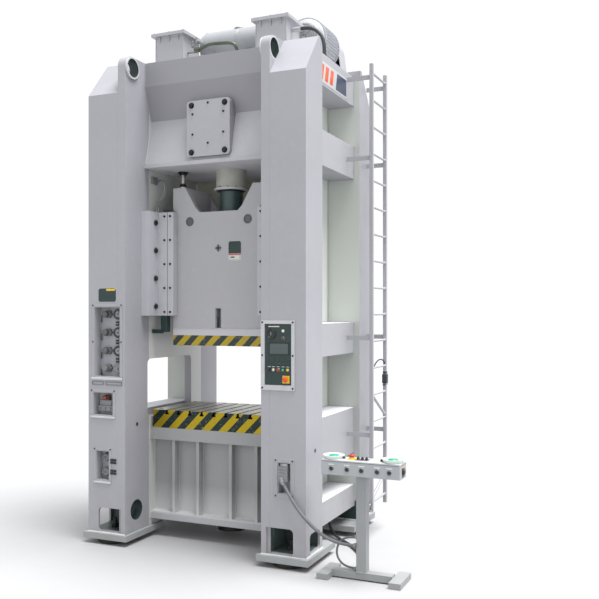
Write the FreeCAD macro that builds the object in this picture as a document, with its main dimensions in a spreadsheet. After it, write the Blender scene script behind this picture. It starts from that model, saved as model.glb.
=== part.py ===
import FreeCAD, Part
import math
import os
import re
import Sketcher

from FreeCAD import Placement, Rotation, Vector

# Mechanical stamping press: a straight-side frame with one central plunger, a front-to-back
# crankshaft, air balancers, a flywheel drive at the back, an access ladder and a two-hand
# console on its own stand.  Millimetres, +Z up, +X to the right seen from the front, the
# front faces -Y.  The origin lies on the floor in the middle of the four anchor holes.

DRIVING_SIZES = [
    # frame
    ("inner_face", 815, "half the clear width between the side plates"),
    ("plate_outer", 910, "outer face of a side plate"),
    ("beam_face", 1231, "outer face of the side beams"),
    ("outer_face", 1300, "outer face of the uprights"),
    ("half_depth", 1000, "front and back faces of the frame"),
    ("upright_back", 565, "inner face of a front upright"),
    ("upright_rear", 590, "inner face of a rear upright"),
    ("skin", 25, "plate thickness of the uprights"),
    ("floor_gap", 54, "height of the isolation pads"),
    ("foot_top", 118, "top of the foot plates"),
    ("slope_foot", 4903, "where the sloping top of an upright starts"),
    ("ridge", 5321, "highest line of the sloping top"),
    ("ridge_front", 663, "front edge of the ridge"),
    ("ridge_back", 620, "back edge of the ridge"),
    ("roof", 5236, "roof of the uprights and upper side beams"),
    ("plate_top", 5310, "top of the side plates and of the crown"),
    ("window_front", 578, "front edge of the side feed window"),
    ("window_rear", 363, "rear edge of the side feed window"),
    ("window_low", 1350, "sill of the side feed window"),
    ("window_high", 1998, "head of the side feed window"),
    ("anchor_across", 1070, "anchor hole from the middle, across"),
    ("anchor_deep", 830, "anchor hole from the middle, front to back"),
    ("anchor_radius", 22, "anchor hole radius"),
    ("lug_deep", 880, "upper lifting hole from the middle"),
    ("lug_height", 5185, "upper lifting hole height"),
    ("lug_radius", 118, "outside radius of a lifting sleeve"),
    # crown
    ("crown_front", 624, "front face of the crown"),
    ("crown_fold", 500, "deepest fold of the crown's front plate"),
    ("fold_height", 4679, "height of that fold"),
    ("crown_lean", 5046, "where the upper front plate starts to lean in"),
    ("crown_low", 4175, "top of the crown's bottom plate lip"),
    ("crown_base", 4134, "underside of the crown"),
    ("crown_skin", 40, "plate thickness of the crown"),
    ("shaft_height", 4640, "crankshaft and pinion shaft height"),
    ("wall_front", 320, "front bearing wall, front face"),
    ("wall_mid", 265, "rear bearing wall, rear face"),
    ("wall", 50, "bearing wall thickness"),
    # drive
    ("throw", 125, "crank throw, half the stroke"),
    ("journal", 80, "crankshaft journal radius"),
    ("crankpin", 100, "crank pin radius"),
    ("pinion_offset", 518, "pinion shaft from the crankshaft"),
    ("pinion_shaft", 45, "pinion shaft radius"),
    ("flywheel_radius", 450, "flywheel radius"),
    ("drive_front", 1060, "front face of flywheel and motor pulley"),
    ("drive_back", 1210, "back face of flywheel and motor pulley"),
    ("motor_across", 668, "motor axis from the middle"),
    ("motor_height", 5720, "motor axis height"),
    ("motor_radius", 250, "motor body radius"),
    ("pulley_radius", 125, "motor pulley radius"),
    ("running", 0.05, "radial clearance of a running shaft"),
    ("slip_gap", 0.3, "gap between pieces that slide past each other"),
    # slide and its guides
    ("slide_half", 583, "half the width of the slide"),
    ("die_deep", 107, "plunger axis, forward of the middle"),
    ("slide_front", 410, "front face of the slide"),
    ("slide_back", 196, "rear face of the slide"),
    ("slide_base", 2151, "underside of the slide at the top of its stroke"),
    ("slide_floor", 2600, "bottom of the slide's hollow"),
    ("saddle", 3640, "top of the slide between its horns"),
    ("horn_top", 3927, "top of the horns"),
    ("plunger_radius", 130, "plunger radius"),
    ("guide_radius", 174, "plunger guide radius below the crown"),
    ("guide_neck", 154, "plunger guide radius through the crown's bottom plate"),
    ("gib_leg", 720, "inner face of a gib's leg"),
    ("gib_front", 700, "front face of a gib's leg"),
    ("gib_face", 500, "front face of a gib's toe"),
    ("gib_tip", 525, "tip of a gib's toe"),
    ("gib_base", 2485, "bottom of the gibs"),
    ("gib_top", 3648, "top of the gibs"),
    ("balancer_across", 560, "balancer rod from the middle"),
    ("balancer_deep", 235, "balancer rod, forward of the middle"),
    ("balancer_rod", 28, "balancer rod radius"),
    # bed and bolster
    ("bed_front", 518, "front face of the bed's lips and of the bolster"),
    ("bed_back", 378, "rear face of the bed's lips and of the bolster"),
    ("bed_middle", 70, "die cushion axis, forward of the middle"),
    ("bed_sink", 100, "depth of the bed's recessed panels"),
    ("bed_base", 195, "underside of the bed"),
    ("bed_flange", 279, "top of the bed's bottom lip"),
    ("bed_neck", 1091, "underside of the bed's top plate"),
    ("bed_top", 1226, "top of the bed"),
    ("bolster_half", 780, "half the width of the bolster"),
    ("bolster_top", 1427, "top of the bolster"),
    ("slot_pitch", 150, "distance between T-slots"),
    # roof equipment
    ("receiver_radius", 200, "air receiver radius"),
    ("receiver_height", 5650, "air receiver axis height"),
    ("receiver_deep", 195, "air receiver axis behind the middle"),
    # ladder
    ("ladder_plane", 1526, "middle plane of the ladder"),
    ("ladder_front", 350, "front rail of the ladder"),
    ("ladder_rear", 850, "rear rail of the ladder"),
    ("ladder_low", 300, "bottom of the ladder rails"),
    ("ladder_high", 5295, "top of the ladder rails"),
    ("rung_first", 400, "height of the first rung"),
    ("rung_pitch", 300, "distance between rungs"),
    # console
    ("post_across", 1880, "console post from the middle"),
    ("post_deep", 990, "console post, forward of the middle"),
    ("post_half", 48, "half the width of the console post"),
    ("console_left", 1498, "left end of the console box"),
    ("console_right", 2276, "right end of the console box"),
    ("console_low", 985, "underside of the console box"),
    ("console_high", 1130, "top of the console box"),
    ("console_front", 1090, "front face of the console box"),
    ("console_back", 890, "back face of the console box"),
    # front panels
    ("panel_low", 1752, "bottom of the operator panel"),
    ("panel_high", 2444, "top of the operator panel"),
    ("panel_right", 1184, "right edge of the operator panel"),
    ("recess_depth", 120, "depth of the recessed boxes in the front"),
]

doc = FreeCAD.newDocument("stamping_press")
dims = doc.addObject("Spreadsheet::Sheet", "dims")
for row, (word, size, meaning) in enumerate(DRIVING_SIZES, start=1):
    dims.set(f"A{row}", word)
    dims.set(f"B{row}", str(size))
    dims.set(f"C{row}", meaning)
    dims.setAlias(f"B{row}", word)
doc.recompute()

TERM = re.compile(r"([+-]?)\s*([A-Za-z_]\w*|\d[\d.]*)")
NAME = re.compile(r"[A-Za-z_]\w*")
parts = []


def number(text):
    """Add up a sum of sheet words and plain numbers, such as 'roof - skin + 5'."""
    total = 0.0
    for sign, word in TERM.findall(str(text)):
        size = float(word) if word[0].isdigit() else float(dims.get(word))
        total += -size if sign == "-" else size
    return total


def formula(text):
    """The same sum, as an expression on the sheet's cells."""
    return NAME.sub(lambda found: "dims." + found.group(0), str(text))


def span(low, high):
    return f"({formula(high)}) - ({formula(low)})"


def opposite(text):
    """The same sum with every sign changed, for the far side of the middle."""
    flipped = "".join(("+" if sign == "-" else "-") + word for sign, word in TERM.findall(str(text)))
    return flipped[1:] if flipped.startswith("+") else flipped


def keep(solid, label):
    """Name a finished sub-part: it is written to a file of this name."""
    solid.Label = label
    parts.append(solid)
    return solid


def place(solid, centre):
    for letter, at in zip("xyz", centre):
        solid.setExpression("Placement.Base." + letter, formula(at))


def block(name, x, y, z):
    """A rectangular solid between a low and a high value along each axis."""
    solid = doc.addObject("Part::Box", name)
    for edge, (low, high) in zip(("Length", "Width", "Height"), (x, y, z)):
        solid.setExpression(edge, span(low, high))
    place(solid, (x[0], y[0], z[0]))
    return solid


TURNS = {"X": Rotation(Vector(0, 1, 0), 90), "Y": Rotation(Vector(1, 0, 0), -90), "Z": Rotation()}


def rod(name, axis, centre, radius, low, high):
    """A cylinder along X, Y or Z; centre gives the two other coordinates in X, Y, Z order."""
    solid = doc.addObject("Part::Cylinder", name)
    solid.Placement = Placement(Vector(), TURNS[axis])
    solid.setExpression("Radius", formula(radius))
    solid.setExpression("Height", span(low, high))
    spot = list(centre)
    spot.insert("XYZ".index(axis), low)
    place(solid, spot)
    return solid


def cut(name, base, *tools):
    for index, tool in enumerate(tools):
        cutting = doc.addObject("Part::Cut", f"{name}_cut{index}")
        cutting.Base, cutting.Tool = base, tool
        base = cutting
    return base


def fuse(name, *pieces):
    joined = doc.addObject("Part::MultiFuse", name)
    joined.Shapes = list(pieces)
    joined.Refine = True
    return joined


def group(name, *pieces):
    """Separate solids that share one node."""
    several = doc.addObject("Part::Compound", name)
    several.Links = list(pieces)
    return several


def mirror(name, source, across="X", middle=0):
    """The mirror image across X = middle or Y = middle."""
    image = doc.addObject("Part::Mirroring", name)
    image.Source = source
    image.Normal = Vector(1, 0, 0) if across == "X" else Vector(0, 1, 0)
    image.Base = image.Normal * middle
    return image


def plane_of(body, role):
    return next(plane for plane in body.Origin.OriginFeatures if plane.Role == role)


def draw(body, role, outline):
    """A closed outline on one of the body's own planes, every corner held by the sheet."""
    sketch = body.newObject("Sketcher::SketchObject", body.Name + "_outline")
    sketch.AttachmentSupport = (plane_of(body, role), [""])
    sketch.MapMode = "FlatFace"
    corners = [Vector(number(u), number(v), 0) for u, v in outline]
    count = len(corners)
    for index in range(count):
        sketch.addGeometry(Part.LineSegment(corners[index], corners[(index + 1) % count]), False)
    ties = [Sketcher.Constraint("Coincident", i, 2, (i + 1) % count, 1) for i in range(count)]
    for i, corner in enumerate(corners):
        ties.append(Sketcher.Constraint("DistanceX", -1, 1, i, 1, corner.x))
        ties.append(Sketcher.Constraint("DistanceY", -1, 1, i, 1, corner.y))
    sketch.addConstraint(ties)
    for i, (u, v) in enumerate(outline):
        sketch.setExpression(f"Constraints[{count + 2 * i}]", formula(u))
        sketch.setExpression(f"Constraints[{count + 2 * i + 1}]", formula(v))
    return sketch


VIEWS = {"front": "XZ_Plane", "side": "YZ_Plane", "plan": "XY_Plane"}


def profile(name, view, outline, low, high):
    """A flat outline seen from the front, the side or above, padded between two depths."""
    body = doc.addObject("PartDesign::Body", name)
    pad = body.newObject("PartDesign::Pad", name + "_pad")
    pad.Profile = draw(body, VIEWS[view], outline)
    pad.setExpression("Length", span(low, high))
    body.Tip = pad
    # a front outline faces -Y, so its pad grows from the high value towards the low one
    letter, start = {"front": ("y", high), "side": ("x", low), "plan": ("z", low)}[view]
    body.setExpression("Placement.Base." + letter, formula(start))
    return body


def turned(name, axis, centre, outline):
    """A turned piece: corners are (radius, distance along the axis) from its centre."""
    body = doc.addObject("PartDesign::Body", name)
    sketch = draw(body, "XZ_Plane", outline)
    turning = body.newObject("PartDesign::Revolution", name + "_turn")
    turning.Profile = sketch
    turning.ReferenceAxis = (sketch, ["V_Axis"])
    turning.Angle = 360
    body.Tip = turning
    body.Placement = Placement(Vector(), TURNS[axis])
    place(body, centre)
    return body


def soften(name, base, radius, middles):
    """Round the edges whose middles lie nearest to the given points."""
    doc.recompute()
    edges = base.Shape.Edges
    chosen = []
    for middle in middles:
        spot = Vector(*[number(value) for value in middle])
        chosen.append(min(range(len(edges)), key=lambda i: edges[i].CenterOfMass.distanceToPoint(spot)))
    rounding = doc.addObject("Part::Fillet", name)
    rounding.Base = base
    rounding.Edges = [(index + 1, radius, radius) for index in chosen]
    return rounding


# ---- side plates: full-height inner walls with the feed window and the lifting holes ----

def side_plate():
    plate = block("side_plate_blank", ("inner_face", "plate_outer"), ("-half_depth", "half_depth"),
                  ("foot_top", "plate_top"))
    middle = "inner_face + 47.5"
    lug_corner = [(middle, end, "plate_top") for end in ("-half_depth", "half_depth")]
    plate = soften("side_plate_corners", plate, 120, lug_corner)
    opening = block("feed_window", ("inner_face - 5", "plate_outer + 5"),
                    ("-window_front", "window_rear"), ("window_low", "window_high"))
    opening = soften("feed_window_corners", opening, 60,
                     [(middle, y, z) for y in ("-window_front", "window_rear")
                      for z in ("window_low", "window_high")])
    holes = [opening]
    for end, sign in (("front", "-"), ("rear", "")):
        holes.append(rod(f"lug_hole_{end}", "X", (sign + "lug_deep", "lug_height"), "lug_radius",
                         "inner_face - 5", "plate_outer + 5"))
        holes.append(rod(f"low_hole_{end}", "X", (sign + "790", 350), 110,
                         "inner_face - 5", "plate_outer + 5"))
    holes.append(block("foot_notch", (870, "plate_outer + 5"), ("-half_depth - 5", "-half_depth + skin"),
                       (125, 390)))
    return cut("side_plate", plate, *holes)


plate_right = side_plate()
recess_notch = block("recess_notch", (-915, -880), ("-half_depth - 5", "-half_depth + recess_depth"),
                     (1815, 2585))
keep(cut("side_plate_left", mirror("side_plate_mirror", plate_right), recess_notch), "side_plate_left")
keep(plate_right, "side_plate_right")

# ---- uprights: box columns with a sloping top, open towards the side plate ----


def upright(name, inner_face_depth):
    """One right-hand column; depths are measured from the middle towards the front."""
    outer = [("-half_depth", "foot_top"), ("-half_depth", "slope_foot"), ("-ridge_front", "ridge"),
             ("-ridge_back", "ridge"), ("-ridge_back", "roof"), ("-" + inner_face_depth, "roof"),
             ("-" + inner_face_depth, "foot_top")]
    inner = [("-half_depth + skin", "foot_top + skin"), ("-half_depth + skin", "slope_foot - 12"),
             ("-ridge_front - 20", "roof - skin"), ("-" + inner_face_depth + " - skin", "roof - skin"),
             ("-" + inner_face_depth + " - skin", "foot_top + skin")]
    shell = profile(name + "_shell", "side", outer, "plate_outer", "outer_face")
    hollow = profile(name + "_hollow", "side", inner, "plate_outer - 5", "outer_face - skin")
    return cut(name, shell, hollow)


def rounded_opening(name, x, y, z, radius, thin_axis):
    """A window cutter whose four edges along its thin axis are rounded."""
    opening = block(name, x, y, z)
    spans = [x, y, z]
    along = "XYZ".index(thin_axis)
    low, high = spans[along]
    spans[along] = ((number(low) + number(high)) / 2,)
    middles = [(a, b, c) for a in spans[0] for b in spans[1] for c in spans[2]]
    return soften(name + "_round", opening, radius, middles)


front_wall = ("-half_depth - 5", "-half_depth + skin + 5")
foot_window = rounded_opening("foot_window", (865, 1165), front_wall, (125, 390), 45, "Y")
side_foot_window = rounded_opening("side_foot_window", ("outer_face - skin - 5", "outer_face + 5"),
                                   (-896, -631), (126, 330), 45, "X")
blank = cut("front_blank", upright("front_column", "upright_back"), foot_window, side_foot_window)
panel_window = block("panel_window", (872, 1137), front_wall, (1816, 2397))
socket_window = block("socket_window", (998, 1139), front_wall, (732, 1043))
keep(cut("front_upright_right", blank, panel_window, socket_window), "front_upright_right")

RECESSES = [("air", (-1223, -880), (1815, 2585)), ("valve", (-1240, -972), (1393, 1652)),
            ("terminal", (-1200, -1022), (684, 1014))]
left_windows = [block(f"{name}_window", x, front_wall, z) for name, x, z in RECESSES]
keep(cut("front_upright_left", mirror("front_mirror", blank), *left_windows), "front_upright_left")

rear_column = mirror("rear_upright_right", upright("rear_column", "upright_rear"), "Y")
keep(rear_column, "rear_upright_right")
keep(mirror("rear_upright_left", rear_column), "rear_upright_left")

# ---- side beams: hollow cross members between the front and rear uprights ----

BEAM_HEIGHTS = [("slope_foot", "roof"), (4063, 4435), (2056, 2406), (900, 1424), (283, 534)]
beams = []
for index, (low, high) in enumerate(BEAM_HEIGHTS):
    outside = block(f"beam{index}", ("plate_outer", "beam_face"), ("-upright_back", "upright_rear"),
                    (low, high))
    inside = block(f"beam{index}_core", ("plate_outer + skin", "beam_face - skin"),
                   ("-upright_back - 5", "upright_rear + 5"), (f"{low} + skin", f"{high} - skin"))
    beam = cut(f"beam{index}_tube", outside, inside)
    beams += [beam, mirror(f"beam{index}_left", beam)]
keep(group("side_beams", *beams), "side_beams")

# ---- feet: steel plates on round isolation pads, with the anchor holes ----

feet, pads = [], []
for side, x in (("left", "-"), ("right", "")):
    for end, y in (("front", "-"), ("rear", "")):
        corner = f"{side}_{end}"
        xs = (775, 1340) if side == "right" else (-1340, -775)
        ys = (300, 1040) if end == "rear" else (-1040, -300)
        spot = (x + "anchor_across", y + "anchor_deep")
        plate = block(f"foot_{corner}", xs, ys, ("floor_gap", "foot_top"))
        bore = rod(f"foot_bore_{corner}", "Z", spot, "anchor_radius", "floor_gap - 5", "foot_top + 5")
        feet.append(cut(f"foot_plate_{corner}", plate, bore))
        pads.append(turned(f"pad_{corner}", "Z", spot + (0,),
                           [("anchor_radius", 0), (170, 0), (185, 8), (185, 40), (176, "floor_gap"),
                            ("anchor_radius", "floor_gap")]))
keep(group("foot_plates", *feet), "foot_plates")
keep(group("isolation_pads", *pads), "isolation_pads")

# ---- lifting sleeves: short tubes in the upper holes of the side plates ----

sleeves = []
for side, x in (("left", "-"), ("right", "")):
    for end, y in (("front", "-"), ("rear", "")):
        low, high = ("inner_face - 20", "plate_outer")
        if side == "left":
            low, high = ("-plate_outer", "-inner_face + 20")
        spot = (y + "lug_deep", "lug_height")
        tube = rod(f"sleeve_{side}_{end}", "X", spot, "lug_radius", low, high)
        bore = rod(f"sleeve_bore_{side}_{end}", "X", spot, "lug_radius - 18", f"{low} - 5", f"{high} + 5")
        sleeves.append(cut(f"lifting_sleeve_{side}_{end}", tube, bore))
keep(group("lifting_sleeves", *sleeves), "lifting_sleeves")

# ---- crown: folded front and back plates, roof, bottom plate and two bearing walls ----

half_outer = [("crown_front", "plate_top"), ("crown_front", "crown_lean"), ("crown_fold", "fold_height"),
              ("crown_front - 14", "crown_low"), ("crown_front + 16", "crown_low"),
              ("crown_front + 16", "crown_base")]
half_inner = [("crown_front - crown_skin", "plate_top - crown_skin"),
              ("crown_front - crown_skin", "crown_lean + 6"), ("crown_fold - crown_skin", "fold_height"),
              ("crown_front - crown_skin - 14", "crown_low + 9")]


def both_ends(half):
    """A side outline from its rear half and the mirror image of it."""
    return [(opposite(y), z) for y, z in half] + [(y, z) for y, z in reversed(half)]


crown_shell = profile("crown_shell", "side", both_ends(half_outer), "-inner_face", "inner_face")
crown_hollow = profile("crown_hollow", "side", both_ends(half_inner), "-inner_face - 5", "inner_face + 5")
crown_box = cut("crown_box", crown_shell, crown_hollow)
wall_height = ("crown_low - 5", "plate_top - crown_skin + 5")
bearing_walls = [
    block("bearing_wall_front", ("-inner_face", "inner_face"), ("-wall_front", "-wall_front + wall"),
          wall_height),
    block("bearing_wall_rear", ("-inner_face", "inner_face"), ("wall_mid - wall", "wall_mid"),
          wall_height)]
crown_weld = fuse("crown_weld", crown_box, *bearing_walls)
crown_bores = [
    rod("crank_bore", "Y", (0, "shaft_height"), "journal + running", "-wall_front - 5", "wall_mid + 5"),
    rod("pinion_bore", "Y", ("pinion_offset", "shaft_height"), "pinion_shaft + running",
        "wall_mid - wall - 5", "crown_front + 20"),
    rod("guide_bore", "Z", (0, "-die_deep"), "guide_neck", "crown_base - 5", "crown_low + 20")]
for side, x in (("left", "-"), ("right", "")):
    crown_bores.append(rod(f"rod_bore_{side}", "Z", (x + "balancer_across", "-balancer_deep"),
                           "balancer_rod + 8", "crown_base - 5", "plate_top + 5"))
keep(cut("crown", crown_weld, *crown_bores), "crown")

# ---- crown cover: a stiff plate that follows the fold behind it ----

cover_outline = [(-640, 4213), (-640, 4822), (-550, 4822), ("-crown_fold - 1", "fold_height"),
                 (-603, 4213)]
cover = profile("cover_blank", "side", cover_outline, -265, 265)
keep(soften("crown_cover", cover, 40, [(x, -615, z) for x in (-265, 265) for z in (4213, 4822)]),
     "crown_cover")

# ---- cap screws: four on the crown cover, four on each front gib ----

screws = [rod(f"cover_screw{i}", "Y", (x, z), 24, -660, -640)
          for i, (x, z) in enumerate([(-205, 4262), (205, 4262), (-205, 4772), (205, 4772)])]
for i, z in enumerate((2589, 2903, 3216, 3529)):
    screws.append(rod(f"gib_screw_left{i}", "X", (-560, z), 26, "-gib_leg", "-gib_leg + 18"))
    screws.append(rod(f"gib_screw_right{i}", "X", (-560, z), 26, "gib_leg - 18", "gib_leg"))
keep(group("cap_screws", *screws), "cap_screws")

# ---- bed: top and bottom plates, recessed panels and the ribs between them ----

across = ("-inner_face", "inner_face")
bed_pieces = [
    block("bed_top_plate", across, ("-bed_front", "bed_back"), ("bed_neck", "bed_top")),
    block("bed_bottom_plate", across, ("-bed_front", "bed_back"), ("bed_base", "bed_flange")),
    block("bed_front_panel", across, ("-bed_front + bed_sink", "-bed_front + bed_sink + 30"),
          ("bed_flange", "bed_neck")),
    block("bed_rear_panel", across, ("bed_back - bed_sink - 30", "bed_back - bed_sink"),
          ("bed_flange", "bed_neck"))]
for i, x in enumerate((-514, -204, 204, 514)):
    bed_pieces.append(block(f"bed_rib{i}", (x - 18, x + 18), ("-bed_front + 6", "bed_back - 6"),
                            ("bed_flange", "bed_neck")))
cushion_hole = rod("cushion_hole", "Z", (0, "-bed_middle"), 172, "bed_base - 5", "bed_flange + 5")
pad_hole = block("pad_hole", (-165, 165), ("-bed_middle - 165", "-bed_middle + 165"),
                 ("bed_neck - 5", "bed_top + 5"))
keep(cut("bed", fuse("bed_weld", *bed_pieces), cushion_hole, pad_hole), "bed")

# ---- bolster: a thick plate with T-slots from front to back ----

bolster = doc.addObject("PartDesign::Body", "bolster")
plate_pad = bolster.newObject("PartDesign::Pad", "bolster_pad")
plate_pad.Profile = draw(bolster, "XZ_Plane", [
    ("-bolster_half", "bed_top"), ("bolster_half", "bed_top"), ("bolster_half", "bolster_top"),
    ("-bolster_half", "bolster_top")])
plate_pad.setExpression("Length", span("-bed_front", "bed_back"))
doc.recompute()
SLOT_COUNT = 9
slot_start = "-slot_pitch - slot_pitch - slot_pitch - slot_pitch"
slot = bolster.newObject("PartDesign::Pocket", "t_slot")
slot.Profile = draw(bolster, "XZ_Plane", [
    (f"{slot_start} - 14", "bolster_top + 5"), (f"{slot_start} - 14", "bolster_top - 30"),
    (f"{slot_start} - 25", "bolster_top - 30"), (f"{slot_start} - 25", "bolster_top - 50"),
    (f"{slot_start} + 25", "bolster_top - 50"), (f"{slot_start} + 25", "bolster_top - 30"),
    (f"{slot_start} + 14", "bolster_top - 30"), (f"{slot_start} + 14", "bolster_top + 5")])
slot.setExpression("Length", span("-bed_front", "bed_back"))
slot.Reversed = True
doc.recompute()
slots = bolster.newObject("PartDesign::LinearPattern", "t_slots")
slots.Originals = [slot]
slots.Direction = (slot.Profile[0], ["H_Axis"])
slots.setExpression("Length", "dims.slot_pitch * 8")
slots.Occurrences = SLOT_COUNT
bolster.Tip = slots
bolster.setExpression("Placement.Base.y", "dims.bed_back")
keep(bolster, "bolster")

# ---- die cushion: an air cylinder in the bed and its piston with a pressure pad ----

keep(turned("cushion_cylinder", "Z", (0, "-bed_middle", 0), [
    (0, 60), (172, 60), (172, 960), (125, 960), (125, 110), (0, 110)]), "cushion_cylinder")
cushion_rod = turned("cushion_rod", "Z", (0, "-bed_middle", 0), [
    (0, 700), ("125 - slip_gap", 700), ("125 - slip_gap", 860), (60, 860), (60, 1100), (0, 1100)])
cushion_pad = block("cushion_pad", (-160, 160), ("-bed_middle - 160", "-bed_middle + 160"), (1100, 1150))
keep(fuse("cushion_piston", cushion_rod, cushion_pad), "cushion_piston")

# ---- gibs: L-shaped guides, their toes in front of and behind the slide's corners ----

gib_outline = [("inner_face", "-gib_front"), ("gib_leg", "-gib_front"), ("gib_leg", "-gib_face"),
               ("gib_tip", "-gib_face"), ("gib_tip", "-slide_front - slip_gap"),
               ("inner_face", "-slide_front - slip_gap")]
gib = profile("gib_front_right", "plan", gib_outline, "gib_base", "gib_top")
gib_left = mirror("gib_front_left", gib)
keep(gib, "gib_front_right")
keep(gib_left, "gib_front_left")
die_middle = -number("die_deep")
keep(group("gibs_rear", mirror("gib_rear_right", gib, "Y", die_middle),
           mirror("gib_rear_left", gib_left, "Y", die_middle)), "gibs_rear")

# ---- plunger guide: a flanged bush hanging from the crown's bottom plate ----

keep(turned("plunger_guide", "Z", (0, "-die_deep", 0), [
    ("plunger_radius + running", 3900), ("guide_radius - 8", 3900), ("guide_radius", 3908),
    ("guide_radius", "crown_base"), ("guide_neck", "crown_base"), ("guide_neck", "crown_low + 9"),
    ("guide_neck + 9", "crown_low + 9"), ("guide_neck + 9", "crown_low + 45"),
    ("guide_neck - 4", "crown_low + 45"), ("guide_neck - 4", 4300),
    ("plunger_radius + running", 4300)]), "plunger_guide")

# ---- slide: a heavy casting with two horns, a knock-out slot and two plugged bores ----

slide_outline = [("-slide_half", "slide_base"), ("slide_half", "slide_base"), ("slide_half", "horn_top"),
                 (425, "horn_top"), (290, "saddle + 50"), (240, "saddle"), (-240, "saddle"),
                 (-290, "saddle + 50"), (-425, "horn_top"), ("-slide_half", "horn_top")]
slide_blank = profile("slide_blank", "front", slide_outline, "-slide_front", "slide_back")
slide_hollow = block("slide_hollow", (-400, 400), ("-slide_front + 70", "slide_back - 70"),
                     ("slide_floor", "horn_top + 10"))
knockout_slot = block("knockout_slot", (-24, 24), ("-slide_front - 5", "slide_back + 5"), (2342, 2564))
plug_bores = [rod(f"plug_bore_{side}", "Y", (x, 3540), 52, "-slide_front - 5", "-slide_front + 25")
              for side, x in (("left", -365), ("right", 365))]
rod_seats = [rod(f"rod_seat_{side}", "Z", (x + "balancer_across", "-balancer_deep"), "balancer_rod",
                 "horn_top - 60", "horn_top + 5") for side, x in (("left", "-"), ("right", ""))]
slide = cut("slide", slide_blank, slide_hollow, knockout_slot, *plug_bores, *rod_seats)
keep(slide, "slide")

# ---- plunger, connecting rod and balancer rods, all carried by the slide ----

keep(rod("plunger", "Z", (0, "-die_deep"), "plunger_radius", "slide_floor", 4390), "plunger")

# The rod's eye is an oblong window, so that the turning crank pin stays free in it over the
# whole stroke although slide and crank are tied by a constant ratio.
eye_height = "shaft_height + throw"
rod_depth = ("-die_deep - 70", "-die_deep + 70")
eye = block("rod_eye", (-290, 290), rod_depth, (f"{eye_height} - 190", f"{eye_height} + 190"))
eye = soften("rod_eye_round", eye, 90, [(x, "-die_deep", z) for x in (-290, 290)
                                        for z in (f"{eye_height} - 190", f"{eye_height} + 190")])
eye_window = block("eye_window", ("-throw - crankpin - 5", "throw + crankpin + 5"),
                   ("-die_deep - 75", "-die_deep + 75"),
                   (f"{eye_height} - crankpin - 32", f"{eye_height} + crankpin + 32"))
shank = block("rod_shank", (-100, 100), rod_depth, (4390, f"{eye_height} - 185"))
keep(cut("connecting_rod", fuse("rod_blank", eye, shank), eye_window), "connecting_rod")

rods = []
for side, x in (("left", "-"), ("right", "")):
    rods.append(turned(f"balancer_rod_{side}", "Z", (x + "balancer_across", "-balancer_deep", 0), [
        (0, "horn_top - 60"), ("balancer_rod", "horn_top - 60"), ("balancer_rod", "horn_top"),
        (48, "horn_top"), (48, "horn_top + 34"), ("balancer_rod", "horn_top + 34"),
        ("balancer_rod", 5610), (95, 5610), (95, 5650), (0, 5650)]))
keep(group("balancer_rods", *rods), "balancer_rods")

keep(block("knockout_bar", (-20, 20), ("-slide_front + 12", "slide_back - 12"), (2346, 2466)),
     "knockout_bar")

# ---- balancer cylinders: square housings on the crown, each with an overhanging cap ----

housings = []
for side, x in (("left", "-"), ("right", "")):
    xs = (460, 820) if side == "right" else (-820, -460)
    cap_xs = (420, 860) if side == "right" else (-860, -420)
    spot = (x + "balancer_across", "-balancer_deep")
    box = block(f"housing_{side}", xs, (-400, -60), ("plate_top", 5665))
    cap = block(f"housing_cap_{side}", cap_xs, (-440, -20), (5665, 5700))
    nipple = rod(f"nipple_{side}", "Z", (x + "640", -235), 20, 5700, 5745)
    chamber = rod(f"chamber_{side}", "Z", spot, 98, "plate_top + 20", 5658)
    throat = rod(f"throat_{side}", "Z", spot, "balancer_rod + slip_gap", "plate_top - 5", "plate_top + 30")
    welded = [box, cap, nipple]
    if side == "right":
        welded.append(rod("air_outlet", "X", (-260, 5575), 24, 815, 930))
    housings.append(cut(f"balancer_cylinder_{side}", fuse(f"housing_weld_{side}", *welded),
                        chamber, throat))
keep(group("balancer_cylinders", *housings), "balancer_cylinders")

# ---- air receiver: a dished tank on two welded feet ----

tank = turned("tank", "X", (0, "receiver_deep", "receiver_height"), [
    (0, -540), (60, -539), (115, -528), (160, -505), (188, -478), ("receiver_radius", -450),
    ("receiver_radius", 450), (188, 478), (160, 505), (115, 528), (60, 539), (0, 540)])
tank_feet = [block(f"tank_foot{i}", (x - 20, x + 20), ("receiver_deep - 120", "receiver_deep + 120"),
                   ("plate_top", "receiver_height - 120")) for i, x in enumerate((-330, 330))]
keep(fuse("air_receiver", tank, *tank_feet), "air_receiver")

# ---- crank train: journals, webs, crank pin, main gear and pinion ----

PRESSURE_ANGLE = math.radians(20)
GEAR_MODULE = 14
GEAR_TEETH = 60
PINION_TEETH = 14
BACKLASH = 2.4


def involute(angle):
    return math.tan(angle) - angle


def gear_face(teeth, turn):
    """A flat gear outline with involute flanks; turn sets where its first tooth points."""
    pitch = GEAR_MODULE * teeth / 2
    base = pitch * math.cos(PRESSURE_ANGLE)
    root, tip = pitch - 1.1 * GEAR_MODULE, pitch + 0.75 * GEAR_MODULE
    half_tooth = math.pi / (2 * teeth) - BACKLASH / (4 * pitch) + involute(PRESSURE_ANGLE)
    start = max(base, root)
    radii = [start + (tip - start) * step / 4 for step in range(5)]
    flank = [(radius, half_tooth - involute(math.acos(min(1, base / radius)))) for radius in radii]
    outline = []
    for tooth in range(teeth):
        middle = turn + 2 * math.pi * tooth / teeth
        corners = [(root, -flank[0][1])] if root < base else []
        corners += [(radius, -half) for radius, half in flank]
        corners += [(radius, half) for radius, half in reversed(flank)]
        corners += [(root, flank[0][1])] if root < base else []
        outline += [Vector(r * math.cos(middle + a), 0, r * math.sin(middle + a)) for r, a in corners]
    return Part.Face(Part.makePolygon(outline + outline[:1]))


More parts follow.
